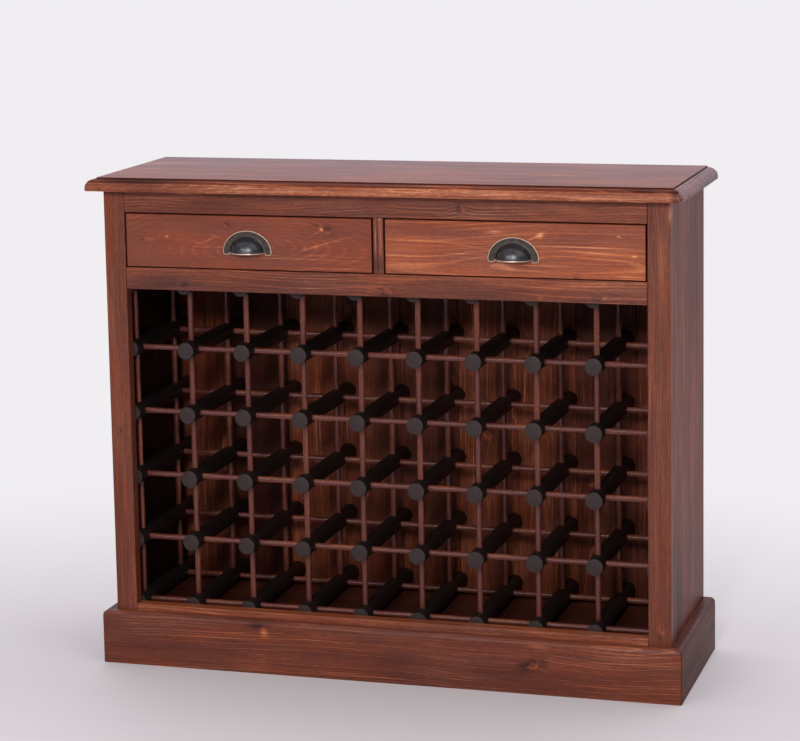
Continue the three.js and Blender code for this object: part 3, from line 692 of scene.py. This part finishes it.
def finish_piece(name, mesh_data, materials, node, body="carcass"):
    """Makes an object of a bmesh, in place of the frame's node."""
    bmesh.ops.remove_doubles(mesh_data, verts=mesh_data.verts, dist=1e-6)
    bmesh.ops.recalc_face_normals(mesh_data, faces=mesh_data.faces)
    mesh = bpy.data.meshes.new(name)
    mesh_data.to_mesh(mesh)
    mesh_data.free()
    mesh.shade_smooth()
    mesh.set_sharp_from_angle(angle=SMOOTH_BELOW)
    piece = bpy.data.objects.new(name, mesh)
    bpy.context.scene.collection.objects.link(piece)
    for material in materials:
        mesh.materials.append(material)
    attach(piece, body)
    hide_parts(node)
    return piece


def ease_edges(piece, width, segments=3):
    """Rounds a board's sharp edges."""
    bevel = piece.modifiers.new("eased edges", "BEVEL")
    bevel.width = width
    bevel.segments = segments
    bevel.limit_method = "ANGLE"
    bevel.angle_limit = EASE_ABOVE
    bevel.harden_normals = True


def add_rings(mesh_data, rings, slot=0):
    """Joins rings of points with the same count by faces, and closes the first and the last."""
    rows = [[mesh_data.verts.new(point) for point in ring] for ring in rings]
    count = len(rows[0])
    for near, far in zip(rows, rows[1:]):
        for i in range(count):
            j = (i + 1) % count
            mesh_data.faces.new((near[i], near[j], far[j], far[i])).material_index = slot
    mesh_data.faces.new(rows[0][::-1]).material_index = slot
    mesh_data.faces.new(rows[-1]).material_index = slot
    return rows


def add_prism(mesh_data, outline, axis, low, high, slot=0):
    """Extrudes an outline of the other two axes' places along an axis."""

    def point(a, b, along):
        place = [a, b]
        place.insert(axis, along)
        return place

    add_rings(mesh_data, [[point(a, b, along) for a, b in outline] for along in (low, high)], slot)


def arc(radius, start, end, steps):
    """Points of an arc round zero, in degrees."""
    angles = [math.radians(start + (end - start) * i / steps) for i in range(steps + 1)]
    return [(radius * math.cos(a), radius * math.sin(a)) for a in angles]


def circle(radius, sides, a=0.0, b=0.0):
    """Points of a circle round a place."""
    return [(a + p, b + q) for p, q in arc(radius, 0, 360 - 360 / sides, sides - 1)]


def board(name, outline, low, high, along, body="carcass"):
    """A board between two corners, with eased edges and a wood of its own, in place of its node."""
    data = bmesh.new()
    add_prism(data, outline, 2, low[2], high[2])
    piece = finish_piece(f"{name}_board", data, [pine(name, low, high, along, WOODS[name])], name, body)
    ease_edges(piece, bpy.context.scene.cabinet_sizes.board_ease)


def dress(node, material):
    """Gives a node of the frame a finish."""
    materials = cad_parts[node].data.materials
    materials.clear()
    materials.append(material)


def dress_board(node, along, wood):
    """Gives a node of the frame its wood."""
    dress(node, pine(node, *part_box(node), along, wood))


# Operators


class CabinetOperator:
    """What the operators share"""

    bl_options = {"REGISTER", "UNDO"}


class CABINET_OT_top(CabinetOperator, bpy.types.Operator):
    """Make the top board with its stepped quarter-round moulding"""

    bl_idname = "cabinet.top"
    bl_label = "Top"

    FINISHES = ("top_panel", "top_nose", "top_slope", "top_ends", "top_quirk")
    FLAT, NOSE, SLOPE, ENDS, QUIRK = range(5)
    ease = 1 * MM  # under the nose
    quirk_depth = 0.6 * MM  # of the groove at the foot of the step
    quirk_sides = (0.5 * MM, 0.9 * MM)  # in from the border
    step_edge = ((1.1 * MM, 0.7 * MM), (1.3 * MM, 0.2 * MM), (1.8 * MM, 0.0))  # in from the border, and down
    quirk_reach = 1 * MM  # under the step, which takes in the whole groove
    edge_reach = 0.3 * MM  # under the top, above which no face is the groove's
    flat_reach = 1 * MM  # under the top, above which the other faces have the finish of the flat
    slope_share = 0.66  # of the thickness, above which the quarter round faces up
    large_face = 0.1  # square metres, which only the upper and the lower face exceed
    round_steps, corner_steps = 22, 8

    def profile(self, sizes, low_z, high_z):
        """The moulding from the underside up: inset from its tip, and height."""
        ease, border = self.ease, sizes.top_border
        points = [(ease, low_z), (ease * 0.3, low_z + ease * 0.3), (0, low_z + ease)]
        rise = high_z - low_z - sizes.top_step - sizes.top_nose
        quarter = arc(1, 180, 90, self.round_steps)
        points += [(border * (1 + x), low_z + sizes.top_nose + rise * z) for x, z in quarter]
        foot = high_z - sizes.top_step - self.quirk_depth
        points += [(border + inset, foot) for inset in self.quirk_sides]
        return points + [(border + inset, high_z - down) for inset, down in self.step_edge]

    def finish_of(self, face, low_z, high_z, step):
        """Which of the finishes a face has."""
        level, upright = face.center.z, abs(face.normal.z)
        if upright > 0.99 and face.area > self.large_face:
            return self.FLAT
        # The groove and the riser take the dark finish: stain and painted shade
        if high_z - step - self.quirk_reach < level < high_z - self.edge_reach and upright < 0.7:
            return self.QUIRK
        if level >= high_z - self.flat_reach:
            return self.FLAT
        if abs(face.normal.x) > 0.4 * abs(face.normal.y):
            return self.ENDS
        # Faces high on the round get the painted shade, the lower ones the painted light
        return self.SLOPE if level > low_z + self.slope_share * (high_z - low_z) else self.NOSE

    def execute(self, context):
        sizes = context.scene.cabinet_sizes
        low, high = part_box("top_panel")
        corner, rings = sizes.top_corner, []
        for inset, z in self.profile(sizes, low.z, high.z):
            reach, left = max(corner, inset), max(corner - inset, 0.0)
            turn = [(reach - x, reach - y) for x, y in arc(left, 0, 90, self.corner_steps)]
            ring = [(low.x + x, low.y + y, z) for x, y in turn]
            ring += [(high.x - x, low.y + y, z) for x, y in turn[::-1]]
            rings.append(ring + [(high.x - inset, high.y, z), (low.x + inset, high.y, z)])
        data = bmesh.new()
        add_rings(data, rings)
        woods = [pine(name, low, high, 0, WOODS[name]) for name in self.FINISHES]
        piece = finish_piece("top_panel_board", data, woods, "top_panel")
        for face in piece.data.polygons:
            face.material_index = self.finish_of(face, low.z, high.z, sizes.top_step)
        return {"FINISHED"}


class CABINET_OT_face_frame(CabinetOperator, bpy.types.Operator):
    """Make the stiles, the rails and the divider between the drawers"""

    bl_idname = "cabinet.face_frame"
    bl_label = "Face frame"

    corner_steps = 6

    def straight(self, name, low, high, along):
        """A board with a plain square section."""
        outline = [(low[0], low[1]), (high[0], low[1]), (high[0], high[1]), (low[0], high[1])]
        board(name, outline, low, high, along)

    def execute(self, context):
        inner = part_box("stile_right")[0].x - JOINT_GAP
        for name in ("top_rail", "mid_rail", "bottom_rail"):
            low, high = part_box(name)
            self.straight(name, (-inner, low.y, low.z), (inner, high.y, high.z), 0)
        low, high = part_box("drawer_divider")
        foot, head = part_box("mid_rail")[1].z + JOINT_GAP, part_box("top_rail")[0].z - JOINT_GAP
        self.straight("drawer_divider", (low.x, low.y, foot), (high.x, high.y, head), 2)
        corner = context.scene.cabinet_sizes.stile_ease
        for name, side in (("stile_left", -1), ("stile_right", 1)):
            low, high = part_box(name)
            outer, near = (high.x, low.x) if side > 0 else (low.x, high.x)
            outline = [(outer, high.y)]
            for x, y in arc(corner, 0, -90, self.corner_steps):
                outline.append((outer - side * corner + side * x, low.y + corner + y))
            board(name, outline + [(near, low.y), (near, high.y)], low, high, 2)
        return {"FINISHED"}


class CABINET_OT_plinth(CabinetOperator, bpy.types.Operator):
    """Make the plinth's three boards, mitred at the front corners"""

    bl_idname = "cabinet.plinth"
    bl_label = "Plinth"

    edge_ease = 0.5 * MM
    round_steps = 9

    def execute(self, context):
        sizes = context.scene.cabinet_sizes
        low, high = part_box("plinth_front")
        side_low, side_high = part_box("plinth_right")
        corner, round_over = sizes.stile_ease, sizes.plinth_round
        thick = side_high.x - side_low.x
        share = (high.y - low.y) / thick  # the front board is thinner than the sides
        quarter = arc(round_over, 180, 90, self.round_steps)
        profile = [(0.0, 0.0)] + [(round_over + x, high.z - round_over + z) for x, z in quarter]
        profile += [(thick, high.z), (thick, 0.0)]

        def station(angle, side, gap=0.0):
            """The profile where the board turns the corner: 0 degrees on the side and 90 on the front."""
            a = math.radians(angle)
            ring = []
            for inset, z in profile:
                left, reach = max(corner - inset, 0.0), max(corner, inset)
                x = side_high.x - reach + left * math.cos(a)
                ring.append((side * x, low.y + share * (reach - left * math.sin(a)) + gap, z))
            return ring

        boards = {"plinth_front": [station(angle, -1) for angle in (45, 60, 75, 90)]}
        boards["plinth_front"] += [station(angle, 1) for angle in (90, 75, 60, 45)]
        for name, side in (("plinth_left", -1), ("plinth_right", 1)):
            boards[name] = [station(angle, side, JOINT_GAP) for angle in (45, 30, 15, 0)]
            boards[name].append([(side * (side_high.x - inset), side_high.y, z) for inset, z in profile])
        for name, rings in boards.items():
            data = bmesh.new()
            add_rings(data, rings)
            material = pine(name, *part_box(name), 0 if name == "plinth_front" else 1, WOODS[name])
            ease_edges(finish_piece(f"{name}_board", data, [material], name), self.edge_ease, 2)
        return {"FINISHED"}


class CABINET_OT_panels(CabinetOperator, bpy.types.Operator):
    """Finish the sides, the back boards, the floor, the deck and the pieces that nobody sees"""

    bl_idname = "cabinet.panels"
    bl_label = "Panels"

    def execute(self, context):
        for name in ("side_panel_left", "side_panel_right"):
            dress_board(name, 2, WOODS["side_panel"])
        for number, shade in enumerate(BACK_TONES_AND_SHADE, 1):
            heart = (55 * math.sin(number * 2.3), -45)  # another place in the tree for each board
            knots = BACK_KNOTS.get(number, ())
            # The back boards' front faces get a share of painted shade
            wood = Pine(heart=heart, ring=4.2, shade=shade, knots=knots, inside=0.2, gloss=0.08)
            dress_board(f"back_board_{number:02d}", 2, wood)
        for name in ("floor_panel", "drawer_deck"):
            dress_board(name, 0, WOODS["shaded_inner_panel"])
        guides = [f"drawer_guide_{place}" for place in ("left", "middle", "right")]
        for name in (*guides, "kicker_left", "kicker_right"):
            dress_board(name, 1, WOODS["batten"])
        for name in ("drawer_stop_left", "drawer_stop_right", "plinth_back"):
            dress_board(name, 0, WOODS["batten"])
        return {"FINISHED"}


class CABINET_OT_rack(CabinetOperator, bpy.types.Operator):
    """Make the bottle rack's bars and dowels, one column at a time"""

    bl_idname = "cabinet.rack"
    bl_label = "Bottle rack"

    rows: bpy.props.IntProperty(name="Rows", description="Bars in a column", default=6, min=2)
    columns: bpy.props.IntProperty(name="Columns", description="Columns of bars", default=10, min=2)

    bar_sides, dowel_sides = 48, 24
    end_turns = (0, 0.5, 1.05, 1.57)  # of the eased end of a bar, in radians

    def add_bar(self, data, sizes, x, z, front, rear):
        """A bar that runs from front to rear, with eased ends."""
        ease, flat = sizes.bar_ease, sizes.bar_radius - sizes.bar_ease
        stations = [(front + ease - ease * math.cos(a), flat + ease * math.sin(a)) for a in self.end_turns]
        stations += [(front + rear - y, r) for y, r in reversed(stations)]
        add_rings(data, [[(a, y, b) for a, b in circle(r, self.bar_sides, x, z)] for y, r in stations])

    def execute(self, context):
        sizes, colours = context.scene.cabinet_sizes, context.scene.cabinet_colours
        bar_wood = turned_wood("black_bar", colours.bar, colours.bar, colours.bar_end_and_light, 0.5, 0.3)
        dowel_wood = turned_wood("red_dowel", colours.dowel, colours.dowel_warm, colours.dowel, 0.3, 0.45)
        names = [f"rack_column_{index + 1:02d}" for index in range(self.columns)]
        xs = [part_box(name)[0].x + sizes.bar_radius for name in names]
        root = sizes.bar_radius - sizes.dowel_plug
        for name, x, next_x in zip(names, xs, xs[1:] + [None]):
            low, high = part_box(name)
            pitch = (high.z - low.z - 2 * sizes.bar_radius) / (self.rows - 1)
            zs = [low.z + sizes.bar_radius + pitch * row for row in range(self.rows)]
            data = bmesh.new()
            for z in zs:
                self.add_bar(data, sizes, x, z, low.y, high.y)
            for y in (low.y + sizes.front_setback, high.y - sizes.rear_setback):
                section = circle(sizes.dowel_radius, self.dowel_sides, x, y)
                for below, above in zip(zs, zs[1:]):
                    add_prism(data, section, 2, below + root, above - root, slot=1)
                for z in zs if next_x is not None else ():
                    section = circle(sizes.dowel_radius, self.dowel_sides, y, z)
                    add_prism(data, section, 0, x + root, next_x - root, slot=1)
            finish_piece(f"{name}_sticks", data, [bar_wood, dowel_wood], name)
        return {"FINISHED"}


class CABINET_OT_drawers(CabinetOperator, bpy.types.Operator):
    """Make the drawer fronts and finish the drawers' boxes"""

    bl_idname = "cabinet.drawers"
    bl_label = "Drawers"

    def execute(self, context):
        for side in ("left", "right"):
            name = f"drawer_{side}_front"
            low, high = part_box(name)
            inner_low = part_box(f"drawer_{side}_side_left")[1].x + JOINT_GAP
            inner_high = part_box(f"drawer_{side}_side_right")[0].x - JOINT_GAP
            lap = low.y + context.scene.cabinet_sizes.lap
            outline = [(low.x, low.y), (high.x, low.y), (high.x, lap), (inner_high, lap)]
            outline += [(inner_high, high.y), (inner_low, high.y), (inner_low, lap), (low.x, lap)]
            board(name, outline, low, high, 0, f"drawer_{side}")
            for part, along in (("side_left", 1), ("side_right", 1), ("back", 0), ("bottom", 0)):
                dress_board(f"drawer_{side}_{part}", along, WOODS["drawer_box"])
        return {"FINISHED"}


class CABINET_OT_pulls(CabinetOperator, bpy.types.Operator):
    """Make the cup pulls and finish their screws"""

    bl_idname = "cabinet.pulls"
    bl_label = "Cup pulls"

    ear_radius = 6.5 * MM
    ear_drop = 4.8 * MM
    plate_bend = 0.85 * MM  # rounding of the plate's edge
    hood_foot = 4.2 * MM  # radius of the hollow between plate and hood
    hood_wall = 2 * MM
    lip_roll = 1.3 * MM
    post_radius = 3.4 * MM
    post_height = 9 * MM  # over the straight lower edge
    post_places = (-20 * MM, 20 * MM)
    post_share = 0.6  # of the hood's reach
    post_sides, plate_steps, ear_steps = 24, 56, 12
    hood_columns, foot_steps, hood_steps, inner_steps = 56, 5, 18, 12

    def add_plate(self, data, rub, sizes, x, y, z):
        """The eared plate: a half ellipse with a round ear hanging at each end."""
        half, thickness, bend = sizes.plate_width / 2, sizes.plate_thickness, self.plate_bend
        ear, drop = self.ear_radius, self.ear_drop
        round_ear = arc(1, 180, 360, self.ear_steps)
        outline = [(half * a, sizes.plate_height * b) for a, b in arc(1, 0, 180, self.plate_steps)]
        outline += [(ear - half + ear * a, drop * b) for a, b in round_ear[1:]]
        outline += [(half - ear + ear * a, drop * b) for a, b in round_ear[:-1]]
        # In from the edge, in bends, forward from the drawer, and how bright: rubbed metal and a painted
        # highlight
        steps = [(0.0, 0.0, 0.6), (0.0, thickness - bend, 1.0), (0.12, thickness - 0.45 * bend, 1.0)]
        steps += [(0.5, thickness - 0.12 * bend, 1.0), (1.0, thickness, 0.6), (1.9, thickness, 0.0)]
        rings = []
        for share, forward, _ in steps:
            ring = []
            for i, (a, b) in enumerate(outline):
                before, after = outline[i - 1], outline[(i + 1) % len(outline)]
                along = Vector((after[0] - before[0], after[1] - before[1])).normalized()
                ring.append((x + a - along.y * bend * share, y - forward, z + b + along.x * bend * share))
            rings.append(ring)
        for row, (_, _, worn_and_glint) in zip(add_rings(data, rings), steps):
            for vert in row:
                vert[rub] = worn_and_glint

    def add_hood(self, data, rub, dome, sizes, x, y, z):
        """The hood: a quarter ellipsoid with a spread foot and a rolled lip, hollow from below."""
        half, height, reach = sizes.hood_width / 2, sizes.hood_height, sizes.hood_reach
        foot, wall, lip, plate = self.hood_foot, self.hood_wall, self.lip_roll, sizes.plate_thickness
        turns = [math.pi * i / self.hood_columns for i in range(self.hood_columns + 1)]
        waves = [(math.cos(t), math.sin(t)) for t in turns]

        def shell(tilt, inset):
            """A line across the hood from ear to ear, tilted from the plate towards the lip."""
            rise, forward = (height - inset) * math.cos(tilt), (reach - inset) * math.sin(tilt)
            return [(x + (half - inset) * c, y - forward * s, z + rise * s) for c, s in waves]

        def spread(share):
            """A line along the foot's quarter-round hollow, from the plate up to the hood."""
            angle = math.pi / 2 * share
            grow = foot * (1 - math.sin(angle))
            level = plate + foot * (1 - math.cos(angle))
            wide, tall = half + grow, height + grow
            # At the ears the hollow comes down to the plate
            return [(x + wide * c, y - min(level, plate + 9 * foot * s), z + tall * s) for c, s in waves]

        def bead(swing):
            """A line along the rolled lip, which turns from the hood's outer face to its inner one."""
            drop = lip * math.sin(swing)
            side, front = 0.4 * drop, 0.6 * drop
            edge = shell(math.pi / 2, wall * (1 - math.cos(swing)) / 2)
            return [(a + side * c, b - front * s, d - drop) for (a, b, d), (c, s) in zip(edge, waves)]

        # The last hood rows and the rolled lip are bright: rubbed metal, and a painted highlight
        rows = [(spread(k / self.foot_steps), 0.0) for k in range(self.foot_steps)]
        start = math.asin(min(1.0, (plate + foot) / reach))
        for k in range(self.hood_steps + 1):
            worn_and_glint = {self.hood_steps: 0.55, self.hood_steps - 1: 0.12}.get(k, 0.0)
            rows.append((shell(start + (math.pi / 2 - start) * k / self.hood_steps, 0.0), worn_and_glint))
        for angle in (25, 60, 90, 120, 155, 180):
            rows.append((bead(math.radians(angle)), 0.9 if angle < 150 else 0.5))
        for k in range(1, self.inner_steps + 1):
            rows.append((shell(math.pi / 2 * (1 - k / self.inner_steps), wall), 0.0))
        made = []
        for points, worn_and_glint in rows:
            row = [data.verts.new(point) for point in points]
            for vert in row:
                vert[rub] = worn_and_glint
                vert[dome] = min(1.0, len(made) / self.foot_steps)
            made.append(row)
        for near, far in zip(made, made[1:]):
            for i in range(self.hood_columns):
                data.faces.new((near[i], near[i + 1], far[i + 1], far[i]))

    def execute(self, context):
        sizes = context.scene.cabinet_sizes
        metal = antique_metal("antique_metal")
        steel = zinc("zinc_steel")
        for side in ("left", "right"):
            node = f"cup_pull_{side}"
            low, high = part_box(node)
            x, y, z = (low.x + high.x) / 2, high.y, high.z - sizes.plate_height
            data = bmesh.new()
            rub = data.verts.layers.float.new("rub")
            dome = data.verts.layers.float.new("dome")
            self.add_plate(data, rub, sizes, x, y, z)
            self.add_hood(data, rub, dome, sizes, x, y, z)
            for place in self.post_places:
                section = circle(self.post_radius, self.post_sides, x + place, z + self.post_height)
                add_prism(data, section, 1, y, y - sizes.hood_reach * self.post_share)
            finish_piece(f"{node}_casting", data, [metal], node, f"drawer_{side}")
            for index in (1, 2):
                dress(f"pull_screw_{side}_{index}", steel)
        return {"FINISHED"}


class CABINET_OT_stage(CabinetOperator, bpy.types.Operator):
    """Make the floor, the lights and the camera"""

    bl_idname = "cabinet.stage"
    bl_label = "Stage"

    floor_radius = 9
    floor_drop = 0.2 * MM  # of the floor under the plinth
    patch_front = 0.9  # metres from the cabinet's middle to that of the floor's solid patch
    patch_radius, fade_radius = 0.9, 2.4
    # Name, place, aim, width and height in metres, power in watts, tint
    lamps = (
        ("key_left", (-1.5, -4.0, 2.25), (0, 0, 0.45), (2.0, 0.6), 44, (1.0, 0.985, 0.97)),
        ("key_right", (0.6, -4.2, 2.3), (0, 0, 0.45), (0.5, 0.8), 84, (1.0, 0.985, 0.97)),
        ("above", (1.9, -1.3, 3.0), (0, 0, 0.6), (2.0, 2.0), 12, (1.0, 1.0, 1.0)),
    )

    def backdrop(self, context):
        """A pale room: bright above, behind and to the right, and dim in front."""
        world = bpy.data.worlds.new("pale_room")
        context.scene.world = world
        graph = Graph(world)
        x, y, z = graph.parts(graph.spot("Generated"))
        dim, behind, right = rgba((0.03, 0.028, 0.028)), rgba((0.97, 0.92, 1.1)), rgba((0.7, 0.66, 0.69))
        left, above = rgba((0.5, 0.49, 0.5)), rgba((1.3, 1.28, 1.3))
        room = graph.mix(graph.smooth(y, -0.2, 0.4), dim, behind)
        beside = graph.smooth(y, -0.25, 0.15)
        room = graph.mix(graph.smooth(x, 0.3, 0.85) * beside, room, right)
        room = graph.mix(graph.smooth(x, -0.3, -0.85) * beside, room, left)
        room = graph.mix(graph.smooth(z, 0.35, 0.8) * graph.smooth(y, -0.6, -0.1), room, above)
        path = graph.add("ShaderNodeLightPath", {}, {})
        rays = {output.name: Field(graph, output) for output in path.socket.node.outputs}
        seen = graph.maths("MAXIMUM", rays["Is Camera Ray"], rays["Is Transmission Ray"])
        light = graph.mix(seen, room, rgba(context.scene.cabinet_colours.backdrop))
        background = graph.add("ShaderNodeBackground", {}, {"Color": light, "Strength": 1.0})
        graph.output(background, "ShaderNodeOutputWorld")

    def floor(self, context):
        """A round floor that fades into the backdrop."""
        colours = context.scene.cabinet_colours
        material, graph = new_material("pale_floor")
        x, y, _ = graph.parts(graph.spot())
        forward = y + self.patch_front
        distance = graph.maths("SQRT", x * x + forward * forward)
        fade = graph.smooth(distance, self.patch_radius, self.fade_radius)
        grain = graph.noise(graph.vector(x * 2, y * 14, 0.0), 3)
        pale = graph.mix(grain, rgba(colours.floor, 0.95), rgba(colours.floor))
        surface = graph.principled({"Base Color": pale, "Roughness": 0.6, "Specular IOR Level": 0.2})
        glow = graph.add("ShaderNodeEmission", {}, {"Color": rgba(colours.backdrop), "Strength": 1.0})
        camera_ray = graph.add("ShaderNodeLightPath", {}, {}, "Is Camera Ray")
        graph.output(graph.add("ShaderNodeMixShader", {}, {0: fade * camera_ray, 1: surface, 2: glow}))
        data = bmesh.new()
        bmesh.ops.create_circle(data, cap_ends=True, segments=96, radius=self.floor_radius)
        mesh = bpy.data.meshes.new("floor")
        data.to_mesh(mesh)
        data.free()
        mesh.materials.append(material)
        floor = bpy.data.objects.new("floor", mesh)
        floor.location.z = CAD_LOW.z - self.floor_drop
        context.scene.collection.objects.link(floor)

    def lamp(self, context, name, place, aim, size, power, tint):
        """A flat lamp that points at its aim."""
        light = bpy.data.lights.new(name, "AREA")
        light.shape = "RECTANGLE"
        light.size, light.size_y = size
        light.energy = power
        light.color = tint
        lamp = bpy.data.objects.new(name, light)
        lamp.location = place
        lamp.rotation_euler = (Vector(aim) - Vector(place)).to_track_quat("-Z", "Y").to_euler()
        context.scene.collection.objects.link(lamp)

    def camera(self, context):
        """Where the photographer stood. Pixels are those of the 800 x 741 image."""
        image_width, middle_row, horizon_row, focal_pixels = 800, 370.5, 260, 2572.82
        place = (1.274077, -4.253057, 1.386764)
        pitch, yaw, roll = 0.150069, -0.292083, -0.017373
        data = bpy.data.cameras.new("camera")
        data.sensor_width = 36
        data.lens = data.sensor_width * focal_pixels / image_width
        data.shift_y = (horizon_row - middle_row) / image_width
        forward = Vector((math.sin(yaw) * math.cos(pitch), math.cos(yaw) * math.cos(pitch), -math.sin(pitch)))
        level = Vector((math.cos(yaw), -math.sin(yaw), 0))
        right = math.cos(roll) * level + math.sin(roll) * level.cross(forward)
        turn = Matrix((right, right.cross(forward), -forward)).transposed().to_4x4()
        camera = bpy.data.objects.new("camera", data)
        camera.matrix_world = Matrix.Translation(place) @ turn
        context.scene.collection.objects.link(camera)
        context.scene.camera = camera

    def execute(self, context):
        self.backdrop(context)
        self.floor(context)
        for settings in self.lamps:
            self.lamp(context, *settings)
        self.camera(context)
        context.scene.view_settings.view_transform = "Standard"
        return {"FINISHED"}


STEPS = (
    CABINET_OT_stage,
    CABINET_OT_top,
    CABINET_OT_face_frame,
    CABINET_OT_plinth,
    CABINET_OT_panels,
    CABINET_OT_rack,
    CABINET_OT_drawers,
    CABINET_OT_pulls,
)


class CABINET_PT_steps(bpy.types.Panel):
    """Buttons that make the cabinet's pieces"""

    bl_label = "Wine Cabinet"
    bl_space_type = "VIEW_3D"
    bl_region_type = "UI"
    bl_category = "Wine Cabinet"

    def draw(self, context):
        for step in STEPS:
            self.layout.operator(step.bl_idname)
        for group in (context.scene.cabinet_sizes, context.scene.cabinet_colours):
            column = self.layout.column()
            for key in group.bl_rna.properties.keys():
                if key not in ("rna_type", "name"):
                    column.prop(group, key)


CLASSES = (CabinetSizes, CabinetColours, *STEPS, CABINET_PT_steps)


def register():
    for cls in CLASSES:
        bpy.utils.register_class(cls)
    bpy.types.Scene.cabinet_sizes = bpy.props.PointerProperty(type=CabinetSizes)
    bpy.types.Scene.cabinet_colours = bpy.props.PointerProperty(type=CabinetColours)


def unregister():
    del bpy.types.Scene.cabinet_colours
    del bpy.types.Scene.cabinet_sizes
    for cls in reversed(CLASSES):
        bpy.utils.unregister_class(cls)


def main():
    register()
    for step in STEPS:
        group, name = step.bl_idname.split(".")
        getattr(getattr(bpy.ops, group), name)()


if __name__ == "__main__":
    main()
